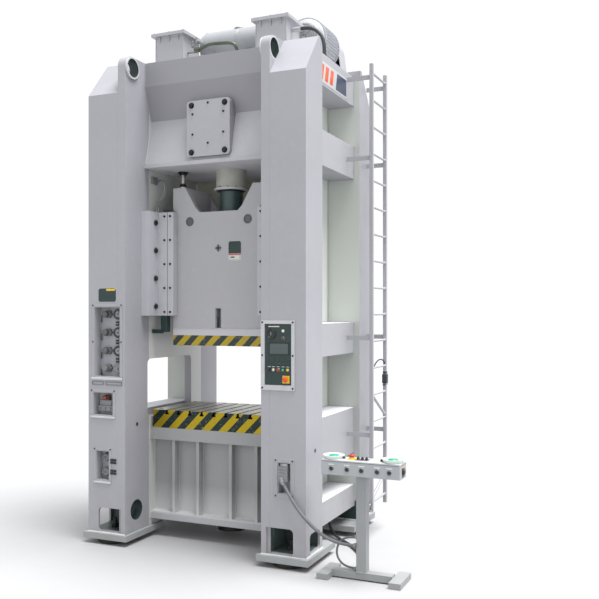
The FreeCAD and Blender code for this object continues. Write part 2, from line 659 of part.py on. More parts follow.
def gear(teeth, turn, x, low, high, bore):
    """A gear between two depths along Y, with a bore for its shaft."""
    height = number("shaft_height")
    blank = gear_face(teeth, turn).extrude(Vector(0, high - low, 0))
    blank.translate(Vector(x, low, height))
    hole = Part.makeCylinder(bore, high - low + 10, Vector(x, low - 5, height), Vector(0, 1, 0))
    return blank.cut(hole)


GEAR_DEPTHS = (80, 180)
axis_spot, pin_spot = (0, "shaft_height"), (0, "shaft_height + throw")
crank_pieces = [
    rod("crank_front_journal", "Y", axis_spot, "journal", "-wall_front - 20", "-die_deep - 130"),
    rod("crank_rear_journal", "Y", axis_spot, "journal", "-die_deep + 130", "wall_mid + 20"),
    rod("crank_pin", "Y", pin_spot, "crankpin", "-die_deep - 80", "-die_deep + 80"),
    rod("crank_front_web", "Y", axis_spot, 238, "-die_deep - 134", "-die_deep - 76"),
    rod("crank_rear_web", "Y", axis_spot, 238, "-die_deep + 76", "-die_deep + 134")]
keep(fuse("crankshaft", *crank_pieces), "crankshaft")

main_gear = doc.addObject("Part::Feature", "main_gear")
blank_gear = gear(GEAR_TEETH, 0, 0, *GEAR_DEPTHS, number("journal"))
for spoke in range(6):
    angle = math.radians(60 * spoke + 30)
    spot = Vector(250 * math.cos(angle), GEAR_DEPTHS[0] - 5, number("shaft_height") + 250 * math.sin(angle))
    blank_gear = blank_gear.cut(Part.makeCylinder(85, 110, spot, Vector(0, 1, 0)))
main_gear.Shape = blank_gear
keep(main_gear, "main_gear")

# The pinion meets the main gear with a gap facing the gear's first tooth.
pinion_shape = gear(PINION_TEETH, math.pi + math.pi / PINION_TEETH, number("pinion_offset"),
                    GEAR_DEPTHS[0] - 10, GEAR_DEPTHS[1] + 10, 20)
shaft_front = GEAR_DEPTHS[0] - 20
shaft_shape = Part.makeCylinder(number("pinion_shaft"), number("drive_back + 30") - shaft_front,
                                Vector(number("pinion_offset"), shaft_front, number("shaft_height")),
                                Vector(0, 1, 0))
pinion = doc.addObject("Part::Feature", "pinion_shaft_piece")
pinion.Shape = pinion_shape.fuse(shaft_shape).removeSplitter()
keep(pinion, "pinion_shaft")

# ---- flywheel on the rear end of the pinion shaft, pulley on the motor, belts and guard ----

flywheel_centre = ("pinion_offset", "drive_front", "shaft_height")
keep(turned("flywheel", "Y", flywheel_centre, [
    ("pinion_shaft + running", 0), (110, 0), (110, 45), (360, 45), (360, 0), ("flywheel_radius", 0),
    ("flywheel_radius", 150), (360, 150), (360, 105), (110, 105), (110, 150),
    ("pinion_shaft + running", 150)]), "flywheel")
motor_spot = ("motor_across", "drive_front", "motor_height")
keep(turned("motor_pulley", "Y", motor_spot, [
    (0, -95), (30, -95), (30, 0), ("pulley_radius", 0), ("pulley_radius", 150), (0, 150)]),
     "motor_pulley")

motor_body = turned("motor_shell", "Y", ("motor_across", 0, "motor_height"), [
    ("30 + running", 420), (130, 420), (185, 428), (228, 455), ("motor_radius", 492),
    ("motor_radius", 930), (215, 950), (215, 1000), (60, 1000), (60, 1020), ("30 + running", 1020)])
motor_feet = [block(f"motor_foot{i}", ("motor_across - 200", "motor_across + 200"), (y - 45, y + 45),
                    ("plate_top + 30", "motor_height - 180")) for i, y in enumerate((570, 860))]
motor_bed = block("motor_bed", ("motor_across - 235", "motor_across + 235"), (500, 970),
                  ("plate_top", "plate_top + 30"))
motor_box = block("motor_terminal_box", ("motor_across - 80", "motor_across + 80"), (640, 820),
                  ("motor_height + 225", "motor_height + 262"))
keep(fuse("drive_motor", motor_body, *motor_feet, motor_bed, motor_box), "drive_motor")


def wrap(radius_low, radius_high, low, high):
    """The solid round flywheel and pulley: two discs and the straight run between them."""
    low_centre = Vector(number("pinion_offset"), low, number("shaft_height"))
    high_centre = Vector(number("motor_across"), low, number("motor_height"))
    between = high_centre - low_centre
    lean = math.asin((radius_low - radius_high) / between.Length)
    corners = []
    for side in (1, -1):
        angle = math.atan2(between.z, between.x) + side * (math.pi / 2 - lean)
        out = Vector(math.cos(angle), 0, math.sin(angle))
        corners += [low_centre + out * radius_low, high_centre + out * radius_high]
    run = Part.Face(Part.makePolygon([corners[0], corners[1], corners[3], corners[2], corners[0]]))
    solid = run.extrude(Vector(0, high - low, 0))
    for centre, radius in ((low_centre, radius_low), (high_centre, radius_high)):
        solid = solid.fuse(Part.makeCylinder(radius, high - low, centre, Vector(0, 1, 0)))
    return solid.removeSplitter()


drive_front, drive_back = number("drive_front"), number("drive_back")
wheel, pulley, gap = number("flywheel_radius"), number("pulley_radius"), number("slip_gap")
belt_shapes = []
for low in (drive_front + 12, drive_front + 57, drive_front + 102):
    ring = wrap(wheel + 16, pulley + 16, low, low + 36)
    belt_shapes.append(ring.cut(wrap(wheel + gap, pulley + gap, low - 1, low + 37)))
belts = doc.addObject("Part::Feature", "belts")
belts.Shape = Part.makeCompound(belt_shapes)
keep(belts, "drive_belts")

guard_shape = wrap(wheel + 50, pulley + 75, drive_front - 20, drive_back + 50)
guard_shape = guard_shape.cut(wrap(wheel + 42, pulley + 67, drive_front - 30, drive_back + 42))
guard = doc.addObject("Part::Feature", "guard")
guard.Shape = guard_shape
keep(guard, "flywheel_guard")

# ---- recessed boxes in the left front upright, with regulators and gauges ----

liners = []
for name, x, z in RECESSES:
    outside = block(f"{name}_liner", x, ("-half_depth", "-half_depth + recess_depth"), z)
    inside = block(f"{name}_space", (x[0] + 8, x[1] - 8), ("-half_depth - 5", "-half_depth + recess_depth - 8"),
                   (z[0] + 8, z[1] - 8))
    liners.append(cut(f"{name}_box", outside, inside))
socket_liner = block("socket_liner", (998, 1139), ("-half_depth", "-half_depth + recess_depth"), (732, 1043))
socket_space = block("socket_space", (1006, 1131), ("-half_depth - 5", "-half_depth + recess_depth - 8"),
                     (740, 1035))
liners.append(cut("socket_box", socket_liner, socket_space))
keep(group("recess_boxes", *liners), "recess_boxes")

AIR_ROWS = (2501, 2301, 2100, 1909)
BACK_WALL = -888
bodies = [block(f"regulator{i}", (-1140, -1074), (BACK_WALL - 44, BACK_WALL), (z - 38, z + 38))
          for i, z in enumerate(AIR_ROWS)]
bores = [rod(f"regulator_bore{i}", "Y", (-1107, z), "12 + slip_gap", BACK_WALL - 50, BACK_WALL - 12)
         for i, z in enumerate(AIR_ROWS)]
regulators = [cut(f"air_regulator{i}", body, bore) for i, (body, bore) in enumerate(zip(bodies, bores))]
for i, z in enumerate(AIR_ROWS):
    keep(turned(f"knob{i}", "Y", (-1107, BACK_WALL - 44, z), [
        (0, -46), (28, -46), (33, -41), (33, "0 - slip_gap"), (12, "0 - slip_gap"), (12, 28), (0, 28)]),
         f"regulator_knob_{i + 1}")
dials = [turned(f"dial{i}", "Y", (-952, BACK_WALL, z), [
    (0, -52), (50, -52), (56, -46), (56, -20), (20, -14), (20, 0), (0, 0)]) for i, z in enumerate(AIR_ROWS)]
keep(group("air_panel_devices", *regulators, *dials), "air_panel_devices")

# ---- operator panel on the right front upright ----

panel_frame = block("panel_frame", ("inner_face + 2", "panel_right"), ("-half_depth - 12", "-half_depth"),
                    ("panel_low", "panel_high"))
panel_sink = block("panel_sink", (859, 1150), ("-half_depth - 20", "-half_depth - 4"), (1803, 2410))
BUTTONS = {"start": (1060, 1955), "mode": (910, 1955), "estop": (1091, 1862)}
panel_bores = [rod(f"{name}_bore", "Y", spot, "9 + slip_gap", "-half_depth - 20", "-half_depth + 5")
               for name, spot in BUTTONS.items()]
keep(cut("control_panel", panel_frame, panel_sink, *panel_bores), "control_panel")
lamps = [turned(f"lamp{i}", "Y", (x, "-half_depth - 4", 1955), [
    (0, -12), (9, -11), (13, -5), (13, 0), (0, 0)]) for i, x in enumerate((954, 1007, 1110))]
keep(group("panel_lamps", *lamps), "panel_lamps")


def pressed(name, axis_turn, centre, outline, label):
    """A push button turned about +Z, then laid so that it is pressed towards +Y."""
    return keep(turned(name, axis_turn, centre, outline), label)


pressed("estop_piece", "Y", (1091, "-half_depth - 4", 1862), [
    (0, -40), (16, -39), (24, -35), (27, -28), (25, -20), (9, -16), (9, 22), (0, 22)], "panel_estop")
pressed("start_piece", "Y", (1060, "-half_depth - 4", 1955), [
    (0, -14), (12, -14), (14, -12), (14, -7), (9, -7), (9, 22), (0, 22)], "panel_start_button")
switch_stem = turned("switch_stem", "Y", (910, "-half_depth - 4", 1955), [
    (0, -12), (14, -12), (14, -1), (9, -1), (9, 3.5), (0, 3.5)])
switch_grip = block("switch_grip", (905, 915), ("-half_depth - 26", "-half_depth - 15"), (1941, 1969))
keep(fuse("mode_switch_piece", switch_stem, switch_grip), "panel_mode_switch")

# ---- ladder with rungs at an even pitch, and its brackets to the frame ----

RUNG_COUNT = 17
RUNG_RADIUS = 13
ladder_bars = [block(f"rail_{end}", ("ladder_plane - 20", "ladder_plane + 20"),
                     (f"ladder_{end} - 20", f"ladder_{end} + 20"), ("ladder_low", "ladder_high"))
               for end in ("front", "rear")]
for index in range(RUNG_COUNT):
    height = number("rung_first") + index * number("rung_pitch")
    ladder_bars.append(rod(f"rung{index}", "Y", ("ladder_plane", height), RUNG_RADIUS,
                           "ladder_front + 20", "ladder_rear - 20"))
keep(group("ladder", *ladder_bars), "ladder")
brackets = []
for index, height in enumerate((1150, 2236, 4250, 5150)):
    for end, face in (("front", "beam_face"), ("rear", "outer_face")):
        brackets.append(block(f"bracket_{end}{index}", (face, "ladder_plane - 20"),
                              (f"ladder_{end} - 6", f"ladder_{end} + 6"), (height - 25, height + 25)))
keep(group("ladder_brackets", *brackets), "ladder_brackets")

# ---- operator console: a stand on two feet and a box with two-hand buttons ----

stand = fuse(
    "console_stand",
    block("stand_foot_left", (1472, 1587), (-1146, -789), (0, 55)),
    block("stand_foot_right", (2180, 2295), (-1146, -789), (0, 55)),
    block("stand_bar", (1587, 2180), ("-post_deep - 45", "-post_deep + 45"), (10, 75)),
    block("stand_post", ("post_across - post_half", "post_across + post_half"),
          ("-post_deep - post_half", "-post_deep + post_half"), (75, "console_low")))
keep(stand, "console_stand")
console = block("console_blank", ("console_left", "console_right"), ("-console_front", "-console_back"),
                ("console_low", "console_high"))
console = soften("console_round", console, 10, [
    (1887, -1090, 1130), (1887, -890, 1130), (1498, -990, 1130), (2276, -990, 1130),
    (1498, -1090, 1057), (2276, -1090, 1057)])
PALMS = {"left": 1590, "right": 2180}
palm_bores = [rod(f"palm_bore_{side}", "Z", (x, -990), "20 + slip_gap", 1080, "console_high + 5")
              for side, x in PALMS.items()]
estop_bore = rod("console_estop_bore", "Z", (1776, -990), "12 + slip_gap", 1090, "console_high + 5")
keep(cut("console_box", console, *palm_bores, estop_bore), "console_box")
cups = [turned(f"cup_{side}", "Z", (x, -990, "console_high"), [
    (60, 0), (92, 0), (104, 30), (100, 32), (86, 6), (60, 6)]) for side, x in PALMS.items()]
estop_base = turned("estop_base", "Z", (1776, -990, "console_high"), [("12 + slip_gap", 0), (34, 0), (31, 16),
                                                                       ("12 + slip_gap", 16)])
keep(group("button_cups", *cups, estop_base), "button_cups")
for side, x in PALMS.items():
    keep(turned(f"palm_{side}", "Z", (x, -990, "console_high"), [
        (0, -40), (20, -40), (20, 12), (50, 12), (53, 18), (46, 27), (30, 32), (0, 34)]),
         f"palm_button_{side}")
keep(turned("console_estop_piece", "Z", (1776, -990, "console_high"), [
    (0, -30), (12, -30), (12, 24), (26, 24), (29, 30), (27, 37), (18, 43), (0, 45)]), "console_estop")

# ---- cords: routes as corner points, rounded with arcs as large as their runs allow ----

ARC_SHARE = 0.45
SIGNAL_CONDUIT = [(1072, -1036, 850), (1160, -1040, 700), (1285, -1045, 550), (1420, -1048, 432),
                  (1560, -1046, 355), (1700, -1036, 322), (1832, -1036, 322)]
POST_LOOP = [(1832, -985, 388), (1752, -985, 388), (1668, -990, 356), (1622, -996, 280),
             (1622, -998, 193), (1674, -998, 124), (1752, -992, 96), (1832, -992, 96)]
FLOOR_CABLE = [(1034, 300, 283), (1034, 300, 210), (1052, 272, 120), (1110, 222, 48), (1200, 150, 20),
               (1320, 52, 18), (1445, -75, 18), (1558, -225, 18), (1655, -385, 18), (1735, -545, 20),
               (1800, -685, 34), (1846, -790, 78), (1868, -872, 112), (1868, -942, 112)]
ROOF_HOSE = [(930, -260, 5575), (1018, -260, 5575), (1101, -260, 5541), (1164, -260, 5478),
             (1196, -260, 5397), (1202, -260, 5313), (1202, -260, 5236)]


def cord(name, label, route, radius):
    """A round tube along straight runs joined by tangent arcs."""
    points = [Vector(*point) for point in route]
    edges, radii = [], []
    start = points[0]
    for before, corner, after in zip(points, points[1:], points[2:]):
        back, ahead = (before - corner), (after - corner)
        turn = math.pi - back.getAngle(ahead)
        reach = ARC_SHARE * min(back.Length, ahead.Length)
        radii.append(reach / math.tan(turn / 2))
        back.normalize()
        ahead.normalize()
        entry, leave = corner + back * reach, corner + ahead * reach
        inward = (back + ahead).normalize()
        depth = radii[-1] / math.cos(turn / 2) - radii[-1]
        edges.append(Part.LineSegment(start, entry).toShape())
        edges.append(Part.Arc(entry, corner + inward * depth, leave).toShape())
        start = leave
    edges.append(Part.LineSegment(start, points[-1]).toShape())
    path = Part.Wire(edges)
    ring = Part.Wire(Part.makeCircle(radius, points[0], points[1] - points[0]))
    tube = path.makePipeShell([ring], True, False, 0)
    expected = math.pi * radius ** 2 * path.Length
    print(f"{label}: length {path.Length:.0f} mm, smallest radius {min(radii):.0f} mm,",
          f"volume over section times length {tube.Volume / expected:.4f}")
    solid = doc.addObject("Part::Feature", name)
    solid.Shape = tube
    return keep(solid, label)


cord("conduit_tube", "console_conduit", SIGNAL_CONDUIT, 17)
cord("loop_tube", "post_loop_cable", POST_LOOP, 11)
cord("floor_tube", "floor_cable", FLOOR_CABLE, 15)
cord("roof_tube", "roof_hose", ROOF_HOSE, 20)

# The socket fills the lower recess on the right upright; its gland points along the conduit.
first_run = Vector(*SIGNAL_CONDUIT[1]) - Vector(*SIGNAL_CONDUIT[0])
socket_shell = Part.makeBox(90, 152, 150, Vector(1024, -1040, 860))
first_run.normalize()
gland = Part.makeCylinder(24, 60, Vector(*SIGNAL_CONDUIT[0]) - first_run * 60, first_run)
socket = doc.addObject("Part::Feature", "socket_piece")
socket.Shape = socket_shell.fuse(gland).removeSplitter()
keep(socket, "conduit_socket")

# ---- check every object, then write each sub-part to its own file ----

doc.recompute()
faulty = [item.Label for item in doc.Objects if {"Invalid", "Error"} & set(item.State)]
if faulty:
    raise RuntimeError("failed objects: " + ", ".join(faulty))
os.makedirs("parts", exist_ok=True)
for solid in parts:
    shape = solid.Shape
    if shape.isNull() or not shape.isValid() or not shape.Solids:
        raise RuntimeError("bad shape: " + solid.Label)
for solid in parts:
    solid.Shape.exportStep(f"parts/{solid.Label}.step")
    print(f"{solid.Label}: {len(solid.Shape.Solids)} solids, {solid.Shape.Volume / 1e9:.4f} m3")
print(len(parts), "sub-parts")
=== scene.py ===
# %% [markdown]
# # Dressing a mechanical stamping press
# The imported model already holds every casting, plate and shaft at its true size and place.
# This lesson gives it paint, fasteners, weld seams, gauges and cables. Loading comes first, and
# every later size is read from the loaded model or stated in metres in the same frame.

# %% Loading the press
import math
import random

import bmesh
import bpy
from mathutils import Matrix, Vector


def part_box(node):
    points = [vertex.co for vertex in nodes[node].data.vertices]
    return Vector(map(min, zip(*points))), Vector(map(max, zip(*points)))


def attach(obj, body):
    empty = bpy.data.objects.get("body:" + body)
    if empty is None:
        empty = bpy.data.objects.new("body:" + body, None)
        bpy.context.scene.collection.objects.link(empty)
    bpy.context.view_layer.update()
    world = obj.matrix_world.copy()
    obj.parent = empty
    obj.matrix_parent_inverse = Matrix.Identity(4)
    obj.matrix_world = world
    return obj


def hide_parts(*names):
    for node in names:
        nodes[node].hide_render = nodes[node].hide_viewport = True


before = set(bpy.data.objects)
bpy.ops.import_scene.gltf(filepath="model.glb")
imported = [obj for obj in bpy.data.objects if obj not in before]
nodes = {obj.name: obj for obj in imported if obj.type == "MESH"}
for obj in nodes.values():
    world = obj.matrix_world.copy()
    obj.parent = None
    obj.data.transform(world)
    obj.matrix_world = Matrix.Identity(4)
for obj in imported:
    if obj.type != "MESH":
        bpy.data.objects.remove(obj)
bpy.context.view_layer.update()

# %% [markdown]
# The camera stands a little below the middle of the press, in front and to its right, and looks
# level, so that the tall uprights stay parallel. A view camera does the same with a rising front:
# here a small lens shift lifts the frame instead of tilting the camera.

# %% Camera
camera_data = bpy.data.cameras.new("studio_camera")
camera_data.lens = 48.18
camera_data.sensor_width = 36
camera_data.shift_y = 0.0198
camera = bpy.data.objects.new("studio_camera", camera_data)
camera.location = (4.348, -8.180, 2.533)
camera.rotation_euler = (math.radians(90), 0, math.radians(23.449))
bpy.context.collection.objects.link(camera)
bpy.context.scene.camera = camera
bpy.context.scene.view_settings.view_transform = "Standard"
print("camera stands", round(camera.location.z, 2), "m above the floor")

# %% [markdown]
# Every finish below is a small node graph, because paint and steel are never one flat colour.
# `add` makes a shader node and fills its sockets, either with a number or with a link, which keeps
# each recipe to a few readable lines. Constants go straight onto the shader's own sockets.

# %% Node helpers
def feed(tree, socket, value):
    if isinstance(value, bpy.types.NodeSocket):
        tree.links.new(value, socket)
    elif isinstance(value, tuple) and len(value) == 3 and socket.type == "RGBA":
        socket.default_value = (*value, 1)
    else:
        socket.default_value = value


def add(tree, kind, sockets=None, **settings):
    made = tree.nodes.new("ShaderNode" + kind)
    for word, value in settings.items():
        setattr(made, word, value)
    for key, value in (sockets or {}).items():
        feed(tree, made.inputs[key], value)
    return made


def maths(tree, operation, first, second=0.0):
    return add(tree, "Math", {0: first, 1: second}, operation=operation).outputs[0]


def blend_colours(tree, amount, under, over):
    mix = add(tree, "Mix", data_type="RGBA")
    feed(tree, mix.inputs["Factor"], amount)
    feed(tree, mix.inputs[6], under)
    feed(tree, mix.inputs[7], over)
    return mix.outputs[2]


def tone(red, green, blue):
    """A colour given as 0 to 255 on a screen, turned into the renderer's linear light."""
    def linear(value):
        share = value / 255
        return share / 12.92 if share <= 0.04045 else ((share + 0.055) / 1.055) ** 2.4
    return linear(red), linear(green), linear(blue)


print("middle grey of a screen is", round(tone(128, 128, 128)[0], 3), "in linear light")

# %% [markdown]
# Most finishes on a machine share one story: a coat laid slightly unevenly, a soft orange-peel
# surface, handling dust in patches, and corners rubbed by gloves and rags. Painting these by hand
# would need image maps; noise textures in object coordinates need none, and they keep their true
# scale on a six metre upright as well as on a screw. The Bevel node rounds the light on each sharp
# edge, and comparing it with the flat normal tells where the worn corners are.

# %% The shared finish recipe
GLOSS_SPREAD = 0.06


class Finish:
    """One material under construction: its tree, its shader and its present colour."""

    def __init__(self, name, colour, rough, metal=0.0):
        self.material = bpy.data.materials.new(name)
        self.material.use_nodes = True
        self.tree = self.material.node_tree
        self.shader = self.tree.nodes["Principled BSDF"]
        self.shader.inputs["Metallic"].default_value = metal
        self.place = add(self.tree, "TexCoord").outputs["Object"]
        axes = add(self.tree, "SeparateXYZ", {0: self.place})
        self.x, self.y, self.z = axes.outputs
        self.colour = colour
        self.rough = rough

    def noise(self, scale, detail=3.0):
        made = add(self.tree, "TexNoise", {"Vector": self.place, "Scale": scale, "Detail": detail})
        return made.outputs["Fac"]

    def ramp(self, value, low, high, start=0.0, end=1.0):
        made = add(self.tree, "MapRange", {"Value": value, "From Min": low, "From Max": high,
            "To Min": start, "To Max": end})
        return made.outputs["Result"]

    def inside(self, value, low, high):
        above = maths(self.tree, "GREATER_THAN", value, low)
        below = maths(self.tree, "LESS_THAN", value, high)
        return maths(self.tree, "MULTIPLY", above, below)

    def mirrored(self, value, low, high):
        """Points whose distance from the middle plane lies between two values, on either side."""
        return self.inside(maths(self.tree, "ABSOLUTE", value), low, high)

    def distance(self, across, centre, height):
        """How far each point lies from an axis at that centre and height."""
        parts = {0: maths(self.tree, "SUBTRACT", across, centre),
            1: maths(self.tree, "SUBTRACT", self.z, height)}
        flat = add(self.tree, "CombineXYZ", parts).outputs[0]
        return add(self.tree, "VectorMath", {0: flat}, operation="LENGTH").outputs["Value"]

    def both(self, *masks):
        result = masks[0]
        for mask in masks[1:]:
            result = maths(self.tree, "MULTIPLY", result, mask)
        return result

    def tint(self, mask, colour):
        self.colour = blend_colours(self.tree, mask, self.colour, colour)

    def patches(self, scale, colour, amount=0.5, low=0.45, high=0.7):
        self.tint(self.ramp(self.noise(scale), low, high, 0, amount), colour)

    def stripes(self, mask, pitch, paint, ground):
        """Hazard bands that lean by 45 degrees on a front face."""
        along = maths(self.tree, "SUBTRACT", self.x, self.z)
        phase = maths(self.tree, "FRACT", maths(self.tree, "DIVIDE", along, pitch))
        band = maths(self.tree, "GREATER_THAN", phase, 0.5)
        chips = self.ramp(self.noise(38, 5), 0.60, 0.66)
        self.tint(mask, blend_colours(self.tree, band, ground, paint))
        self.tint(maths(self.tree, "MULTIPLY", self.both(mask, chips), 0.5), tone(120, 118, 95))

    def close(self, edge=0.004, wear=None, grain=60.0, bump=0.08):
        """Round the light on the edges, rub the corners and lay the orange peel."""
        soft = add(self.tree, "Bevel", {"Radius": edge}, samples=3).outputs["Normal"]
        if wear:
            flat = add(self.tree, "NewGeometry").outputs["Normal"]
            match = add(self.tree, "VectorMath", {0: soft, 1: flat}, operation="DOT_PRODUCT")
            corner = self.ramp(match.outputs["Value"], 0.995, 0.86)
            rubbed = maths(self.tree, "MULTIPLY", corner, self.ramp(self.noise(9, 4), 0.42, 0.62))
            self.tint(maths(self.tree, "MULTIPLY", rubbed, 0.5), wear)
        peel = self.noise(grain, 2)
        bumps = add(self.tree, "Bump", {"Strength": bump, "Distance": 0.002, "Height": peel,
            "Normal": soft})
        feed(self.tree, self.shader.inputs["Normal"], bumps.outputs["Normal"])
        feed(self.tree, self.shader.inputs["Base Color"], self.colour)
        uneven = self.ramp(self.noise(3.5, 4), 0.3, 0.7, self.rough - GLOSS_SPREAD,
            self.rough + GLOSS_SPREAD)
        feed(self.tree, self.shader.inputs["Roughness"], uneven)
        return self.material


print("finish recipe ready, gloss varies by", 2 * GLOSS_SPREAD)

# %% [markdown]
# The frame wears a cool light-grey enamel. Under the top coat's own unevenness there is a faint darker
# veil near the floor, where dust settles, and rubbed corners show a paler primer. All parts of the frame
# share this enamel, each with its own tone. The bed and the stand are painted darker, a painted shade,
# and the bed is painted paler towards its foot, a painted highlight.

# %% Frame enamel
ENAMEL = tone(157, 157, 163)
PRIMER = tone(200, 202, 201)
# Painted shade: two dark green-greys that paint the shade inside hollows, holes and bores.
DEEP_PAINTED_SHADE = tone(40, 56, 55)
HOLLOW_PAINTED_SHADE = tone(78, 91, 89)
HAZARD_YELLOW = tone(170, 148, 22)
HAZARD_DARK = tone(40, 51, 51)
DUST = tone(138, 137, 130)
DUST_HEIGHT = 0.9


def enamel(name, colour=ENAMEL):
    coat = Finish(name, colour, 0.50)
    coat.patches(0.8, tuple(value * 0.88 for value in colour), 0.55, 0.40, 0.68)
    coat.patches(14, tuple(value * 1.08 for value in colour), 0.35, 0.5, 0.75)
    settle = coat.ramp(coat.z, DUST_HEIGHT, 0.05, 0, 0.45)
    coat.tint(coat.both(settle, coat.ramp(coat.noise(5, 5), 0.38, 0.7)), DUST)
    return coat


plain_enamel = enamel("press_enamel", tone(166, 166, 171)).close(wear=PRIMER)
gib_enamel = enamel("gib_enamel", tone(180, 180, 186)).close(wear=PRIMER)
foot_enamel = enamel("foot_enamel", tone(148, 151, 153)).close(wear=PRIMER)
# The bed is painted darker than the frame, a painted shade. It is painted paler from 0.6 m down to its
# foot, a painted highlight of light from the floor. A band from 0.15 to 0.26 m high is set a paler grey.
bed_coat_painted_light = enamel("bed_enamel", tone(148, 149, 149))
bed_coat_painted_light.tint(bed_coat_painted_light.ramp(bed_coat_painted_light.z, 0.60, 0.26, 0, 0.75), tone(204, 204, 206))
bed_coat_painted_light.tint(bed_coat_painted_light.both(bed_coat_painted_light.inside(bed_coat_painted_light.z, 0.15, 0.262),
    bed_coat_painted_light.mirrored(bed_coat_painted_light.x, -1, 0.9)), tone(172, 172, 176))
bed_enamel_painted_light = bed_coat_painted_light.close(wear=PRIMER)
# Painted shade: the stand's enamel is darker than the frame's, for the shade the stand stands in.
stand_enamel_painted_shade = enamel("stand_enamel_painted_shade", tone(143, 146, 148)).close(wear=PRIMER)
print("enamel mixed for the bed, the feet and the stand")

# %% [markdown]
# Some pieces are one mesh but not one shade. The top face of a beam is painted paler than its side, a
# painted highlight for the light it catches. A folded crown plate is painted darker in its fold, a
# painted shade. A mask made from the object's own X, Y or Z picks such a face out, so the mesh stays
# whole and needs no second material. The louvres of the flywheel guard's round inspection lid are made
# the same way, as dark slots inside a circle: painted shade where the openings would be.

# %% Enamel with masked faces
BEAM_TOPS = (0.534, 1.424, 2.406, 4.435, 5.236)
HUB_X, HUB_Z = 0.518, 4.640
LOUVRE_PITCH = 0.030
beam = enamel("beam_enamel", tone(162, 162, 167))
# Painted highlight: the top face of each beam is painted paler.
for beam_top in BEAM_TOPS:
    beam.tint(beam.inside(beam.z, beam_top - 0.0012, beam_top + 0.0012), tone(218, 218, 222))
beam_enamel = beam.close(wear=PRIMER)

console_coat = enamel("console_enamel", tone(160, 163, 166))
console_coat.tint(console_coat.inside(console_coat.z, 1.1288, 1.14), tone(176, 175, 172))
console_enamel = console_coat.close(wear=PRIMER)

crown_coat = enamel("crown_enamel", tone(172, 172, 177))
# Painted shade: the crown plate above the fold is painted darker.
crown_coat.tint(crown_coat.both(crown_coat.inside(crown_coat.z, 4.679, 5.309),
    crown_coat.mirrored(crown_coat.y, 0.45, 0.66)), tone(142, 142, 147))
crown_coat.tint(crown_coat.inside(crown_coat.z, 4.12, 4.1350), tone(204, 204, 208))
crown_enamel = crown_coat.close(wear=PRIMER)

guard = enamel("guard_enamel", tone(166, 166, 171))
guard_back = guard.inside(guard.y, 1.2585, 1.262)
hub_reach = guard.distance(guard.x, HUB_X, HUB_Z)
# Painted shade: the louvre slots are painted dark where the openings would be.
row = maths(guard.tree, "FRACT", maths(guard.tree, "DIVIDE", guard.z, LOUVRE_PITCH))
louvres = guard.both(maths(guard.tree, "LESS_THAN", hub_reach, 0.150),
    maths(guard.tree, "LESS_THAN", row, 0.42), guard_back)
guard.tint(louvres, tone(58, 59, 62))
guard.tint(guard.both(guard.inside(hub_reach, 0.176, 0.180), guard_back), tone(92, 93, 97))
guard_enamel = guard.close(wear=PRIMER)

cover = enamel("cover_enamel", tone(164, 164, 169))
# Painted shade: the cover's sides are painted darker, and a thin band just behind its front plate is
# darker still, a painted shadow of the gap.
cover.tint(cover.inside(cover.y, -0.6150, -0.4), tone(136, 136, 141))
cover.tint(cover.inside(cover.y, -0.6210, -0.6150), tone(60, 61, 64))
cover_enamel = cover.close(wear=PRIMER)

sleeve = enamel("sleeve_enamel", tone(190, 190, 194))
# Painted shade: the bore of each lifting sleeve is painted dark.
bore = sleeve.distance(maths(sleeve.tree, "ABSOLUTE", sleeve.y), 0.880, 5.185)
sleeve.tint(maths(sleeve.tree, "LESS_THAN", bore, 0.1012), DEEP_PAINTED_SHADE)
sleeve_enamel = sleeve.close(wear=PRIMER)

print("masks laid on", len(BEAM_TOPS), "beam tops, the crown, the guard and the sleeves")

# %% [markdown]
# The inside of each hollow column is painted a dark green-grey, a painted shade, and so is the wall of
# the round hole near each foot. The rear uprights' faces inside the side pockets are painted paler, a
# painted highlight, and dark near their foot, a painted shade. The side plates are painted darker or
# paler by which way they face. This is painted light and shade for how they are lit through the press
# between the columns.

# %% Columns and side plates
column = enamel("column_enamel")
# Painted shade: the inside of each hollow column is painted a dark green-grey.
within = column.both(column.mirrored(column.x, 0.905, 1.2762), column.inside(column.z, 0.141, 4.85))
front_or_rear = maths(column.tree, "MAXIMUM", column.inside(column.y, -0.9762, -0.589),
    column.inside(column.y, 0.614, 0.9762))
column.tint(column.both(within, front_or_rear), HOLLOW_PAINTED_SHADE)
# Painted light: the rear uprights' faces in the side pockets are painted paler, less so low down. Near
# their foot they are painted dark, a painted shade.
shade = column.inside(column.y, 0.585, 0.5925)
column.tint(column.both(shade, column.inside(column.z, 0.36, 5.4)), tone(195, 199, 193))
column.tint(column.both(shade, column.inside(column.z, 0.36, 2.2)), tone(182, 186, 181))
column.tint(column.both(shade, column.inside(column.z, 0.12, 0.34)), DEEP_PAINTED_SHADE)
column_enamel = column.close(wear=PRIMER)

pocket = enamel("side_plate_enamel")
outer_face = pocket.mirrored(pocket.x, 0.9085, 0.92)
facing_out = pocket.both(outer_face, pocket.mirrored(pocket.y, -1, 0.57))
# Painted light: the outward faces between the beams are painted paler.
pocket.tint(facing_out, tone(207, 212, 205))
# Painted shade: the outward faces inside the columns are painted dark.
inside_column = pocket.both(outer_face, pocket.mirrored(pocket.y, 0.589, 0.98),
    pocket.inside(pocket.z, 0.141, 4.85))
pocket.tint(inside_column, HOLLOW_PAINTED_SHADE)
# Painted light: the inner faces between front and rear are painted paler.
facing_in = pocket.both(pocket.mirrored(pocket.x, 0.8135, 0.8165), pocket.inside(pocket.y, -0.55, 0.6))
pocket.tint(facing_in, tone(192, 193, 190))
